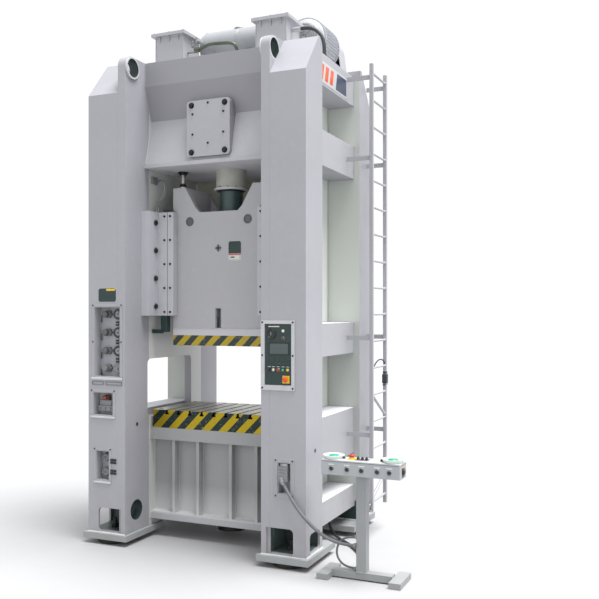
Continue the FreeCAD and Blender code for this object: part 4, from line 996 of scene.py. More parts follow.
# %% Bare plates
def bare_plate(name, x, z, face, bands, body="frame", rivets=0.006):
    """A riveted plate with fields of colour: bands are (finish, x range, z range)."""
    thick = 0.002
    work = Workpiece().block(x, (face - thick, face + 0.001), z, 0.0008)
    for corner_x in (x[0] + 0.010, x[1] - 0.010):
        for corner_z in (z[0] + 0.010, z[1] - 0.010):
            pan_screw(work, "Y", (corner_x, face - thick, corner_z), rivets, -1)
    piece(name, work, "white", body)
    for number, (finish, band_x, band_z) in enumerate(bands, start=1):
        lift = 0.0008 * number
        field = Workpiece().block(band_x, (face - thick - lift, face - thick + 0.0003), band_z, 0.0003)
        piece(f"{name}_field_{number}", field, finish, body)


bare_plate("slide_instruction_plate", (0.124, 0.287), (3.089, 3.306), SLIDE_FACE,
    [("fascia", (0.128, 0.283), (3.168, 3.302)), ("red", (0.128, 0.283), (3.152, 3.164)),
    ("dial", (0.150, 0.262), (3.103, 3.146)), ("black", (0.158, 0.205), (3.120, 3.134))], "slide")
print("instruction plate hung bare")

# %% [markdown]
# The slide's lower flange joins its face in a soft fillet, and the slot of the knock-out bar is
# lined with dark strips. A weld bead does for the fillet, because it is as soft and as uneven.

# %% Flange fillet and knock-out slot
edges = Workpiece()
edges.bead((-0.575, SLIDE_FACE, FLANGE_TOP), (0.575, SLIDE_FACE, FLANGE_TOP), 0.006)
for x in (-0.024, 0.024):
    edges.bead((x, SLIDE_FACE, FLANGE_TOP), (x, SLIDE_FACE, SLOT_TOP), 0.003)
piece("slide_flange_fillet", edges, slide_enamel, "slide")
slot_lining = Workpiece()
for x in (-0.0285, 0.0285):
    slot_lining.block((x - 0.0045, x + 0.0045), (SLIDE_FACE - 0.003, SLIDE_FACE + 0.001),
        (2.350, SLOT_TOP), 0.001)
slot_lining.block((-0.033, 0.033), (SLIDE_FACE - 0.003, SLIDE_FACE + 0.001), (2.556, 2.566), 0.001)
piece("knockout_slot_lining", slot_lining, "fascia", "slide")
print("slide face fitted")

# %% [markdown]
# Under the crown, the plunger runs in a white guide with a bolted rim and a wiper seal. All of them
# are round, so they are turned profiles, and the screws take their places from a circle.

# %% Plunger guide
guide_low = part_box("plunger_guide")[0]
GUIDE_Y = -0.107
rim = Workpiece().turn("Z", (0, GUIDE_Y, guide_low.z), [(0.1335, 0.0), (0.190, 0.0), (0.194, 0.004),
    (0.194, 0.024), (0.190, 0.028), (0.1735, 0.028), (0.1735, 0.012), (0.1335, 0.012)], 72)
piece("plunger_guide_rim", rim, "white")
rim_spots = [(x, y, guide_low.z + 0.028) for x, y in around(0, GUIDE_Y, 0.184, 12, first=15)]
screw_set("plunger_guide_bolts", cap_screw, "Z", rim_spots, 0.008, 1)
wiper = Workpiece().turn("Z", (0, GUIDE_Y, guide_low.z), [(0.1304, -0.014), (0.140, -0.014),
    (0.146, -0.002), (0.146, 0.001), (0.1304, 0.001)], 64)
piece("plunger_wiper_seal", wiper, "rubber")

print(len(rim_spots), "screws in the guide's rim")

# %% [markdown]
# Grease reaches the gibs through a few bent tubes from splitters on the side plates. Their lines
# are NURBS curves, which bend as evenly as a tube in a bender, and a nut closes each end.

# %% Grease lines
def bent_tubes(name, routes, radius, finish):
    """Several rigid tubes that share one piece; each route is in metres."""
    work = Workpiece()
    for route in routes:
        line = centreline([tuple(1000 * value for value in spot) for spot in route])
        work.tube(even_steps(line, max(radius, 0.012)), radius, 10)
        for end, towards in ((line[0], line[1]), (line[-1], line[-2])):
            heading = (towards - end).normalized()
            work.tube([end - heading * radius * 0.5, end + heading * radius * 2.6], radius * 1.6, 6)
    piece(name, work, finish)


GREASE_BENDS = ((0.812, -0.46, 4.02), (0.76, -0.46, 4.02), (0.70, -0.46, 4.03), (0.655, -0.46, 3.93),
    (0.70, -0.46, 3.80), (0.765, -0.46, 3.76), (0.745, -0.50, 3.70), (0.745, -0.50, 3.652))
grease_routes = []
for side in (-1, 1):
    for shift in (0, 0.035):
        route = [(side * x, y + shift, z) for x, y, z in GREASE_BENDS]
        route[0] = (side * 0.812, -0.46 + shift, 4.02 - shift)
        grease_routes.append(route)
bent_tubes("gib_grease_lines", grease_routes, 0.006, "zinc")
splitters = Workpiece()
for side in (-1, 1):
    splitters.block(sorted((side * 0.790, side * 0.814)), (-0.52, -0.40), (3.985, 4.060), 0.003)
piece("grease_splitters", splitters, "grey")
print(len(grease_routes), "grease lines bent")

# %% [markdown]
# Each balancer rod ends in a clamp nut that rides on the slide, and passes a gland in the crown
# that stays behind. Both are turned, with hexagons where a spanner would go.

# %% Balancer rod nuts and glands
ROD_X, ROD_Y = 0.560, -0.235
glands = Workpiece()
for side, word in ((-1, "left"), (1, "right")):
    boot = Workpiece().turn("Z", (side * ROD_X, ROD_Y, 3.961),
        [(0, 0.0), (0.044, 0.0, 6), (0.044, 0.022, 6), (0.036, 0.026, 6), (0.0285, 0.026),
        (0.0285, 0.040), (0, 0.040)], 24)
    piece(f"balancer_rod_nut_{word}", boot, "dark_steel", "slide")
    glands.turn("Z", (side * ROD_X, ROD_Y, CROWN_UNDER), [(0.0286, 0.001), (0.0286, -0.030),
        (0.034, -0.034), (0.046, -0.030), (0.046, -0.012), (0.060, -0.012), (0.060, 0.001)], 36)
piece("balancer_rod_glands", glands, "dark_steel")
print("rods nutted at", ROD_X, "m each side")

# %% [markdown]
# The left column holds the air station: a deep recess with four regulators and four gauges,
# and two smaller boxes below. A pressed frame with pan-head screws trims each recess, and so it
# does round the socket in the right column. Four thin chamfered bars make a frame, which is
# simpler and cleaner than cutting a hole in a plate.

# %% Recess frames
FRONT = -1.0
FRAME_THICK = 0.005


def trim_frame(work, x, z, width, face=FRONT, thick=FRAME_THICK):
    """Four bars round an opening; x and z are the opening's own edges."""
    near, far = face - thick, face + 0.001
    work.block((x[0] - width, x[1] + width), (near, far), (z[1], z[1] + width), 0.0012)
    work.block((x[0] - width, x[1] + width), (near, far), (z[0] - width, z[0]), 0.0012)
    work.block((x[0] - width, x[0]), (near, far), z, 0.0012)
    work.block((x[1], x[1] + width), (near, far), z, 0.0012)


def frame_corners(x, z, width, extra_rows=()):
    half = width / 2
    rows = (z[0] - half, z[1] + half) + tuple(extra_rows)
    return [(across, FRONT - FRAME_THICK, up) for across in (x[0] - half, x[1] + half) for up in rows]


AIR_BOX = ((-1.223, -0.880), (1.815, 2.585))
VALVE_BOX = ((-1.240, -0.972), (1.393, 1.652))
TERMINAL_BOX = ((-1.200, -1.022), (0.684, 1.014))
SOCKET_BOX = ((0.998, 1.139), (0.732, 1.043))
TRIMS = ((AIR_BOX, 0.030, (2.20,)), (VALVE_BOX, 0.030, ()), (TERMINAL_BOX, 0.030, ()),
    (SOCKET_BOX, 0.040, ()))
trims, trim_spots = Workpiece(), []
for opening, width, extra_rows in TRIMS:
    trim_frame(trims, *opening, width)
    trim_spots += frame_corners(*opening, width, extra_rows)
piece("recess_trim_frames", trims, column_enamel)
lips = Workpiece()
for x, reach, z in (((-1.253, -0.850), 0.018, (1.786, 1.812)),
        ((-1.268, -0.946), 0.016, (1.366, 1.388)), ((-1.226, -0.998), 0.014, (0.656, 0.676))):
    lips.block(x, (FRONT - reach, FRONT + 0.001), z, 0.004)
piece("recess_lips", lips, "white")
screw_set("recess_trim_screws", pan_screw, "Y", trim_spots, 0.009, -1)
tabs = Workpiece()
for x in ((-1.245, -1.100), (-1.066, -0.858)):
    for z in (1.732, 1.764):
        tabs.block(x, (FRONT - 0.007, FRONT + 0.001), (z - 0.0035, z + 0.0035), 0.001)
    for end in x:
        tabs.block((end - 0.0035, end + 0.0035), (FRONT - 0.007, FRONT + 0.001), (1.732, 1.764), 0.001)
piece("air_label_holders", tabs, "grey")
bare_plate("left_column_notice", (-1.169, -0.929), (2.633, 2.788), FRONT,
    [("fascia", (-1.165, -0.933), (2.637, 2.784)), ("yellow", (-1.060, -0.945), (2.756, 2.778))],
    rivets=0.005)
print(len(trim_spots), "trim screws")

# %% [markdown]
# A pressure gauge is read at arm's length, so it needs its parts: a dark bezel, a grey card with
# ticks, a red needle on a hub, a pane of glass and the small black line valves below. The bezel is
# a turned ring; ticks are thin blocks set round the card by a little trigonometry.

# %% Pressure gauges
AIR_ROWS = (2.501, 2.301, 2.100, 1.909)
GAUGE_X, GAUGE_FACE, KNOB_X = -0.952, -0.940, -1.107
CARD_RADIUS = 0.0335


def direction(degrees):
    """A unit vector in an upright plane that faces the operator."""
    angle = math.radians(degrees)
    return Vector((math.cos(angle), 0, math.sin(angle)))


bezels, pale_ring, cards, ticks, needles, hubs, tags = (Workpiece() for _ in range(7))
for row, height in enumerate(AIR_ROWS):
    spot = (GAUGE_X, GAUGE_FACE, height)
    ring = pale_ring if row == 3 else bezels
    ring.turn("Y", spot, [(0.0325, -0.0005), (0.0325, -0.004), (0.042, -0.010), (0.055, -0.009),
        (0.0585, -0.002), (0.0585, 0.012), (0.0565, 0.014), (0.0565, 0.0)], 48)
    cards.turn("Y", spot, [(0, -0.0015), (CARD_RADIUS, -0.0015), (CARD_RADIUS, 0.0005), (0, 0.0005)], 48)
    for step in range(21):
        along = direction(225 - 13.5 * step)
        reach, half = (0.010, 0.0012) if step % 5 == 0 else (0.006, 0.0007)
        inner, outer = CARD_RADIUS - 0.003 - reach, CARD_RADIUS - 0.003
        side = Vector((-along.z, 0, along.x)) * half
        centre = Vector((GAUGE_X, GAUGE_FACE - 0.0018, height))
        corners = [centre + along * inner - side, centre + along * outer - side,
            centre + along * outer + side, centre + along * inner + side]
        lift = Vector((0, 0.0006, 0))
        ticks.put(corners + [corner + lift for corner in corners],
            [(0, 1, 2, 3), (4, 5, 6, 7), (0, 1, 5, 4), (1, 2, 6, 5), (2, 3, 7, 6), (3, 0, 4, 7)])
    along = direction(150 - 22 * row)
    pivot = Vector((GAUGE_X, GAUGE_FACE - 0.0035, height))
    tip, tail = pivot + along * 0.027, pivot - along * 0.010
    needles.tube([tail, tail.lerp(tip, 0.5), tip], [0.0018, 0.0014, 0.0004], 6)
    hubs.turn("Y", (GAUGE_X, GAUGE_FACE - 0.001, height), [(0, -0.005), (0.009, -0.005),
        (0.012, -0.003), (0.012, 0.0), (0, 0.0)], 24)
    if row < 3:
        for shift in (-0.117, -0.088):
            tags.block((GAUGE_X - 0.036, GAUGE_X + 0.036), (-0.936, -0.888),
                (height + shift - 0.0095, height + shift + 0.0095), 0.003)
piece("gauge_bezels", bezels, "black")
piece("spare_gauge_bezel", pale_ring, "dull")
piece("gauge_cards", cards, "card")
piece("gauge_ticks", ticks, "black")
piece("gauge_needles", needles, "red")
piece("gauge_hubs", hubs, "black")
piece("gauge_line_valves", tags, "black")
print("dials ready for", len(AIR_ROWS), "air lines")

# %% [markdown]
# The glass of a gauge must let its card show through. A low alpha on the shader's own socket does
# that and survives the export; bending light through a pane this thin would add only noise.

# %% Gauge glasses
glasses = Finish("gauge_glass", tone(200, 204, 206), 0.10)
glasses.shader.inputs["Alpha"].default_value = 0.08
glasses.patches(20, tone(225, 230, 232), 0.4)
panes = Workpiece()
for height in AIR_ROWS:
    panes.turn("Y", (GAUGE_X, GAUGE_FACE, height), [(0, -0.0082), (0.0400, -0.0078), (0.0400, -0.0065),
        (0, -0.0069)], 40)
piece("gauge_glasses", panes, glasses.close(bump=0.01))
print("panes laid over", len(AIR_ROWS), "gauges")

# %% [markdown]
# Each regulator is turned by hand, so its knob is fluted and carries a pointer. Flutes and pointer
# ride on the knob's own body and turn with it.

# %% Regulator knobs
for row, height in enumerate(AIR_ROWS, start=1):
    knob_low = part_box(f"regulator_knob_{row}")[0]
    flutes = Workpiece()
    for x, z in around(KNOB_X, height, 0.0325, 18):
        flutes.tube([Vector((x, knob_low.y + 0.004, z)), Vector((x, knob_low.y + 0.042, z))], 0.0034, 6)
    flutes.turn("Y", (KNOB_X, knob_low.y, height), [(0, -0.002), (0.020, -0.002), (0.0225, 0.001),
        (0, 0.001)], 32)
    flutes.block((KNOB_X - 0.0015, KNOB_X + 0.0015), (knob_low.y - 0.0032, knob_low.y + 0.001),
        (height + 0.004, height + 0.024), 0.0004)
    piece(f"regulator_knob_flutes_{row}", flutes, "dull" if row == 4 else "shade",
        f"knob_{row}")
print(len(AIR_ROWS), "knobs fluted")

# %% [markdown]
# The lock ring and the pipe fittings stay behind on the frame when a knob turns. The tubes
# between regulators and gauges are thin lines, bent like the grease lines.

# %% Lock rings and air lines
PIPE_Y = -0.908
bases, lines = Workpiece(), []
for height in AIR_ROWS:
    bases.turn("Y", (KNOB_X, -0.932, height), [(0.0335, -0.0005), (0.041, -0.0005), (0.043, 0.002),
        (0.043, 0.030), (0.0335, 0.030)], 40)
    for x, end, out in ((-1.140, 0.024, -1), (-1.074, 0.020, 1)):
        bases.turn("X", (x, PIPE_Y, height), [(0, 0), (0.014, 0, 6), (0.014, 0.012, 6), (0.009, 0.013),
            (0.009, end), (0, end)], 24, out)
    lines.append([(-1.056, PIPE_Y, height), (-1.030, PIPE_Y, height), (-1.010, -0.905, height - 0.012),
        (-0.985, -0.900, height - 0.010), (-0.968, -0.897, height)])
    lines.append([(-1.162, PIPE_Y, height), (-1.185, PIPE_Y, height), (-1.197, -0.906, height - 0.03),
        (-1.198, -0.902, height - 0.085)])
piece("regulator_lock_rings", bases, "grey")
bent_tubes("air_station_lines", lines, 0.0045, "cable")
print("regulators plumbed")

# %% [markdown]
# The two smaller boxes hold ordinary shop devices: a valve block with its brown coil terminal,
# and a pair of round sockets with their caps. All are built at the depth of their box, behind the
# column's face. Beside the lower box two small black connector strips sit on the face itself.

# %% Devices in the lower boxes
BOX_BACK = -0.888
valve = Workpiece()
valve.block((-1.200, -1.015), (-0.960, BOX_BACK), (1.440, 1.500), 0.004)
valve.block((-1.185, -1.030), (-0.950, BOX_BACK), (1.500, 1.560), 0.004)
for x in (-1.175, -1.108, -1.040):
    valve.turn("Y", (x, -0.960, 1.470), [(0, -0.014), (0.010, -0.014, 6), (0.012, 0.0, 6), (0, 0.0)], 18)
piece("valve_block", valve, "grey")
coil = Workpiece()
coil.turn("Z", (-1.105, -0.925, 1.560), [(0, 0), (0.034, 0), (0.036, 0.003), (0.036, 0.046),
    (0.031, 0.052), (0.012, 0.053), (0.012, 0.060, 6), (0, 0.060)], 32)
coil.block((-1.130, -1.080), (-0.985, -0.950), (1.568, 1.606), 0.004)
piece("valve_coil", coil, "copper")
sockets = Workpiece()
for z in (0.930, 0.770):
    sockets.turn("Y", (-1.112, BOX_BACK, z), [(0, -0.050), (0.012, -0.050), (0.014, -0.058),
        (0.036, -0.060), (0.043, -0.052), (0.043, -0.020), (0.055, -0.016), (0.055, 0.0), (0, 0.0)], 36)
    sockets.block((-1.152, -1.142), (-0.955, BOX_BACK), (z - 0.030, z + 0.030), 0.002)
piece("service_sockets", sockets, "grey")
strips = Workpiece()
for z in (0.904, 0.788):
    for shift in (-0.016, 0.016):
        strips.block((-1.008, -0.928), (FRONT - 0.010, FRONT + 0.001),
            (z + shift - 0.011, z + shift + 0.011), 0.003)
    for pin in range(6):
        strips.block((-0.999 + 0.012 * pin, -0.995 + 0.012 * pin), (FRONT - 0.0115, FRONT - 0.009),
            (z - 0.024, z + 0.024), 0.0005)
piece("connector_strips", strips, "black")
print("lower boxes equipped")

# %% [markdown]
# Round plastic plugs close the grease holes in the columns' outer sides and in the side plates'
# inner faces. One turned outline serves all four; only its place and direction change.

# %% Grease hole plugs
hole_plugs = Workpiece()
for x, y, z, out in ((COLUMN_OUT, -0.760, 1.140, 1), (-COLUMN_OUT, -0.760, 1.140, -1),
        (-PLATE_IN, -0.780, 1.290, 1), (PLATE_IN, -0.780, 1.290, -1)):
    hole_plugs.turn("X", (x, y, z), [(0, -0.001), (0.020, -0.001), (0.020, 0.002), (0.016, 0.003),
        (0.012, 0.0025), (0, 0.0025)], 28, out)
piece("grease_hole_plugs", hole_plugs, "black")
print("grease holes plugged")

# %% [markdown]
# The operator panel is a frame with a dark green fascia. Its controls are generic: a cam-angle
# dial, a display and two rows of small keys here, then lamps and a stop. No lettering is added.

# %% Operator panel
FASCIA_Y = -1.004
fascia = Workpiece().block((0.861, 1.148), (FASCIA_Y - 0.0015, FASCIA_Y + 0.001), (1.805, 2.408), 0.0006)
piece("panel_fascia", fascia, "fascia")
panel_spots = [(x, FRONT - 0.012, z) for x in (0.835, 1.166) for z in (1.775, 2.098, 2.425)]
screw_set("panel_frame_screws", pan_screw, "Y", panel_spots, 0.010, -1)
DISPLAY = ((0.915, 1.116), (2.111, 2.217))
screen = Workpiece().block(DISPLAY[0], (FASCIA_Y - 0.006, FASCIA_Y), DISPLAY[1], 0.002)
piece("panel_display", screen, "screen")
screen_rim = Workpiece()
trim_frame(screen_rim, *DISPLAY, 0.008, FASCIA_Y, 0.008)
piece("panel_display_rim", screen_rim, "black")
DIAL_X, DIAL_Z = 0.930, 2.310
dial = Workpiece().turn("Y", (DIAL_X, FASCIA_Y, DIAL_Z), [(0, -0.006), (0.038, -0.006),
    (0.042, -0.012), (0.050, -0.012), (0.054, -0.004), (0.054, 0.0), (0, 0.0)], 48)
for x, z in around(DIAL_X, DIAL_Z, 0.032, 12):
    dial.turn("Y", (x, FASCIA_Y - 0.006, z), [(0, -0.0016), (0.0022, -0.0016), (0.0024, 0), (0, 0)], 8)
piece("cam_angle_dial", dial, "black")
pointer = Workpiece().tube([Vector((DIAL_X, FASCIA_Y - 0.009, 2.300)),
    Vector((DIAL_X, FASCIA_Y - 0.009, 2.338))], [0.003, 0.0008], 8)
piece("cam_angle_pointer", pointer, "white")
keys = Workpiece()
for column_x in (0.895, 0.950, 1.005, 1.060, 1.115):
    for row_z in (2.008, 2.052):
        keys.block((column_x - 0.017, column_x + 0.017), (FASCIA_Y - 0.007, FASCIA_Y),
            (row_z - 0.012, row_z + 0.012), 0.003)
piece("panel_keys", keys, "fascia")

print("fascia, display, dial and keys in place")

# %% [markdown]
# Lamps and push buttons sit in bright rings. One helper turns the ring and, where the CAD model
# has no lens of its own, the cap. The emergency stop gets its yellow plate, and each label is
# left as a bare pale strip.

# %% Lamps, stop plate and labels
def ring_button(name, x, z, radius, cap_finish=None):
    """A bright ring on the fascia, with or without a domed cap."""
    ring = Workpiece().turn("Y", (x, FASCIA_Y, z), [(radius + 0.0005, 0.0), (radius + 0.0005, -0.004),
        (radius + 0.003, -0.006), (radius + 0.005, -0.004), (radius + 0.0055, 0.0)], 32)
    piece(f"{name}_ring", ring, "zinc")
    if cap_finish:
        cap = Workpiece().turn("Y", (x, FASCIA_Y, z), [(0, -0.013), (radius * 0.7, -0.012),
            (radius, -0.008), (radius, 0.0), (0, 0.0)], 28)
        piece(f"{name}_cap", cap, cap_finish)


ring_button("power_lamp", 1.060, 2.339, 0.013, "lamp")
ring_button("fault_lamp", 1.060, 2.268, 0.012, "copper")
LAMP_Z = 1.955
for name, x in (("lamp_a", 0.954), ("lamp_b", 1.007), ("lamp_c", 1.110)):
    ring_button(name, x, LAMP_Z, 0.0135)
for name, x, finish in (("red_lens", 1.007, "red"), ("yellow_lens", 1.110, "yellow")):
    lens = Workpiece().turn("Y", (x, FASCIA_Y, LAMP_Z), [(0, -0.0135), (0.0092, -0.0125),
        (0.0133, -0.0062), (0.0133, -0.0045), (0.009, -0.0115), (0, -0.0124)], 28)
    piece(name, lens, finish)
stop_plate = Workpiece().block((1.052, 1.130), (FASCIA_Y - 0.004, FASCIA_Y), (1.823, 1.901), 0.004)
piece("stop_plate", stop_plate, "yellow")
marks = Workpiece()
for x in (0.910, 0.954, 1.007, 1.060, 1.110):
    marks.block((x - 0.015, x + 0.015), (FASCIA_Y - 0.0025, FASCIA_Y - 0.001), (1.983, 1.989), 0.0004)
marks.block((0.900, 1.020), (FASCIA_Y - 0.0025, FASCIA_Y - 0.001), (2.378, 2.388), 0.0004)
piece("panel_bare_labels", marks, "dial")
print("operator panel fitted")

# %% [markdown]
# The socket in the right column is a cast connector, and the CAD shell gives its bulk. This adds
# the ribs across its front, its round cap and the gland nut where the conduit enters.

# %% Console connector
connector = Workpiece()
for z in (0.900, 0.930, 0.960, 0.990):
    connector.block((1.022, 1.1165), (-1.0425, -0.985), (z - 0.004, z + 0.004), 0.0015)
connector.block((1.019, 1.117), (-1.030, -0.980), (0.866, 0.878), 0.002)
piece("connector_ribs", connector, "zinc")
top = Workpiece().turn("Z", (1.069, -1.000, 1.010), [(0, -0.002), (0.040, -0.002), (0.042, 0.001),
    (0.042, 0.012), (0.034, 0.022), (0, 0.024)], 32)
piece("connector_cap", top, "grey")
conduit_start = Vector((1.072, -1.036, 0.850))
heading = (Vector((1.160, -1.040, 0.700)) - conduit_start).normalized()
nut = Workpiece()
nut.tube([conduit_start - heading * 0.032, conduit_start - heading * 0.030,
    conduit_start - heading * 0.004, conduit_start - heading * 0.002], [0.026, 0.030, 0.030, 0.026], 6)
nut.tube([conduit_start - heading * 0.002, conduit_start + heading * 0.020], [0.023, 0.0185], 20)
piece("conduit_gland_nut", nut, "zinc")
print("console connector fitted")

# %% [markdown]
# The conduit's far end, the post loop and the floor cable also end in glands, a hexagon with a tapered
# nose, turned in one profile. Each bore is a little wider than its cord, so that the two never share a
# surface.

# %% Cord glands
post_glands = Workpiece()
for spot, radius in (((1.832, -1.036, 0.322), 0.017), ((1.832, -0.985, 0.388), 0.011),
        ((1.832, -0.992, 0.096), 0.011)):
    post_glands.turn("X", spot, [(radius + 0.0006, 0.0), (radius + 0.011, 0.0, 6),
        (radius + 0.011, 0.014, 6), (radius + 0.006, 0.016), (radius + 0.004, 0.028),
        (radius + 0.0006, 0.030)], 24, -1)
for axis, spot, out in (("Y", (1.868, -0.942, 0.112), 1), ("Z", (1.034, 0.300, 0.283), -1)):
    post_glands.turn(axis, spot, [(0.0156, 0.0), (0.026, 0.0, 6), (0.026, 0.014, 6), (0.020, 0.016),
        (0.0156, 0.028)], 24, out)
piece("cord_glands", post_glands, "zinc")
print("cord glands fitted")

# %% [markdown]
# On the outer side of the top beam hangs the press's sign plate. It carries no print: only a pale
# ground, an orange field in three strokes and a navy field.

# %% Side sign plate
SIGN_FACE = BEAM_OUT + 0.0028
sign = Workpiece().block((BEAM_OUT - 0.001, BEAM_OUT + 0.003), (-0.521, 0.350), (4.930, 5.155), 0.001)
for y in (-0.505, -0.085, 0.334):
    for z in (4.944, 5.141):
        pan_screw(sign, "X", (BEAM_OUT + 0.003, y, z), 0.006, 1)
piece("side_sign_plate", sign, "white")
strokes = Workpiece()
for start in (-0.470, -0.330, -0.190):
    strokes.slab("X", [(start, 4.962), (start + 0.085, 4.962), (start + 0.125, 5.123),
        (start + 0.040, 5.123)], SIGN_FACE, SIGN_FACE + 0.0014)
piece("sign_orange_field", strokes, "orange")
navy = plain("sign_navy", (52, 62, 84), 0.35, 0, (42, 50, 70))
block_field = Workpiece().slab("X", [(-0.010, 4.950), (0.325, 4.950), (0.325, 5.135), (0.040, 5.135)],
    SIGN_FACE, SIGN_FACE + 0.0014)
piece("sign_navy_field", block_field, navy)
print("sign plate hung bare")

# %% [markdown]
# The roof carries the air side of the press. Each of the two balancer housings is welded up from
# plate, with gussets under a cap that is bolted down. Bolts go round each cap by a loop.

# %% Balancer housings
CAP_TOP = 5.700
cap_bolts = []
for side in (-1, 1):
    for x in (0.450, 0.640, 0.830):
        cap_bolts += [(side * x, y, CAP_TOP) for y in (-0.410, -0.050)]
    cap_bolts += [(side * x, -0.230, CAP_TOP) for x in (0.450, 0.830)]
screw_set("balancer_cap_bolts", hex_bolt, "Z", cap_bolts, 0.013, 1, finish="zinc")
ROOF, UNDER_CAP = 5.312, 5.664
HOUSING_Y = (-0.400, -0.060)
housing = Workpiece()
for side in (-1, 1):
    for x in (0.460, 0.820):
        for y in HOUSING_Y:
            housing.bead((side * x, y, ROOF), (side * x, y, 5.663), 0.006)
    for y in HOUSING_Y:
        housing.bead((side * 0.460, y, ROOF), (side * 0.815, y, ROOF), 0.009)
        housing.bead((side * 0.460, y, UNDER_CAP), (side * 0.820, y, UNDER_CAP), 0.007)
    for x in (0.460, 0.820):
        housing.bead((side * x, -0.400, UNDER_CAP), (side * x, -0.060, UNDER_CAP), 0.007)
    for x in (0.520, 0.640, 0.760):
        housing.slab("X", [(-0.402, UNDER_CAP), (-0.436, UNDER_CAP), (-0.402, 5.600)],
            side * x - 0.004, side * x + 0.004)
piece("balancer_housing_welds", housing, plain_enamel)
print(len(cap_bolts), "cap bolts on the roof")

# %% [markdown]
# Each balancer takes its air through a flanged union on its cap, and a few fittings stand on a
# bracket beside the left one. From there an olive pipe runs in bends to the receiver, with a nut
# at each end.

# %% Balancer fittings and air pipe
fittings = Workpiece()
for side in (-1, 1):
    fittings.turn("Z", (side * 0.640, -0.235, CAP_TOP), [(0.0205, 0.0), (0.034, 0.0, 6),
        (0.034, 0.016, 6), (0.030, 0.018), (0.0205, 0.018)], 24)
    fittings.turn("Z", (side * 0.640, -0.235, 5.727), [(0.0205, 0.0), (0.026, 0.0), (0.026, 0.014),
        (0.0205, 0.014)], 24)
for x, z in ((-0.395, 5.560), (-0.345, 5.600), (-0.345, 5.500)):
    fittings.turn("Z", (x, -0.300, z), [(0, -0.030), (0.012, -0.030), (0.016, -0.024, 6),
        (0.016, 0.0, 6), (0.010, 0.004), (0.010, 0.040), (0.004, 0.044), (0, 0.044)], 18)
fittings.block((-0.460, -0.330), (-0.312, -0.288), (5.470, 5.482), 0.002)
piece("balancer_fittings", fittings, "zinc")
olive_route = [(-0.355, -0.300, 5.500), (-0.300, -0.300, 5.500), (-0.250, -0.300, 5.520),
    (-0.191, -0.300, 5.541), (-0.106, -0.300, 5.541), (0.000, -0.298, 5.535), (0.085, -0.292, 5.528),
    (0.140, -0.280, 5.505), (0.150, -0.262, 5.455), (0.150, -0.235, 5.430), (0.150, -0.170, 5.430),
    (0.150, -0.060, 5.470), (0.150, 0.020, 5.520)]
bent_tubes("balancer_air_pipe", [olive_route], 0.019, "olive")
print("air pipe bent through", len(olive_route), "points")

# %% [markdown]
# The receiver is a rolled tank: weld rings mark both ends and the middle seam, saddles carry it
# on the crown, and fittings stand at both ends and on top. The saddles are arcs pushed into
# slabs, a hair outside the tank's own skin.

# %% Air receiver
TANK_Y, TANK_Z, TANK_RADIUS = 0.195, 5.650, 0.200
tank_rings = Workpiece()
for x in (-0.450, 0.450, 0.0):
    ring = [Vector((x, y, z)) for y, z in around(TANK_Y, TANK_Z, TANK_RADIUS, 73, step=5)]
    tank_rings.tube(ring, [0.006 * random.uniform(0.85, 1.15) for _ in ring], 6)
piece("receiver_weld_rings", tank_rings, "receiver")
saddles = Workpiece()
for x in (-0.330, 0.330):
    inner_arc = around(TANK_Y, TANK_Z, 0.2015, 11, first=200, step=14)
    outer_arc = around(TANK_Y, TANK_Z, 0.2075, 11, first=200, step=14)
    saddles.slab("X", inner_arc + outer_arc[::-1], x - 0.045, x + 0.045)
    for y in (-0.090, 0.090):
        hex_bolt(saddles, "Z", (x, TANK_Y + y * 1.55, 5.313), 0.014, 1)
piece("receiver_saddles", saddles, "receiver")
tank_fittings = Workpiece()
for x, end, out in ((0.540, 0.050, 1), (-0.540, 0.030, -1)):
    tank_fittings.turn("X", (x, TANK_Y, TANK_Z), [(0, -0.004), (0.032, -0.004, 6), (0.032, 0.016, 6),
        (0.018, 0.018), (0.018, end), (0, end)], 24, out)
tank_fittings.turn("Z", (0.200, TANK_Y, TANK_Z + TANK_RADIUS),
    [(0, -0.006), (0.022, -0.006), (0.022, 0.014), (0.028, 0.015, 6), (0.028, 0.034, 6),
    (0.012, 0.038), (0.012, 0.052), (0, 0.053)], 24)
tank_fittings.turn("Z", (-0.060, TANK_Y, TANK_Z + TANK_RADIUS),
    [(0.045, -0.010), (0.058, -0.004), (0.058, 0.014), (0.045, 0.016), (0.040, 0.012),
    (0.040, -0.006)], 36)
piece("receiver_fittings", tank_fittings, "zinc")
print("receiver of radius", TANK_RADIUS, "m seated")

# %% [markdown]
# The drive motor is a finned machine: long cooling fins stand round the shell, except at its foot
# and below its terminal box. The fins are thin slabs set round the axis in one loop.

# %% Motor fins
MOTOR_X, MOTOR_Z, MOTOR_RADIUS = 0.668, 5.720, 0.250
fins = Workpiece()
FIN_COUNT = 44
for step in range(FIN_COUNT):
    degrees = 360 * (step + 0.5) / FIN_COUNT
    if abs(degrees - 90) < 22 or abs(degrees - 270) < 24:
        continue
    out = direction(degrees)
    side = Vector((-out.z, 0, out.x)) * 0.003
    corners = []
    for depth in (0.505, 0.915):
        for reach, half in ((MOTOR_RADIUS - 0.006, 1.4), (MOTOR_RADIUS + 0.012, 0.8)):
            centre = Vector((MOTOR_X, depth, MOTOR_Z)) + out * reach
            corners += [centre - side * half, centre + side * half]
    fins.put(corners, [(0, 1, 3, 2), (4, 5, 7, 6), (0, 1, 5, 4), (2, 3, 7, 6), (0, 2, 6, 4),
        (1, 3, 7, 5)])
piece("motor_fins", fins, "motor")
print(FIN_COUNT, "fin places round the motor")

# %% [markdown]
# A grille of rings crossed by spokes guards the fan at the front end. Bands close both ends of
# the shell, and screws hold its feet and its terminal box.

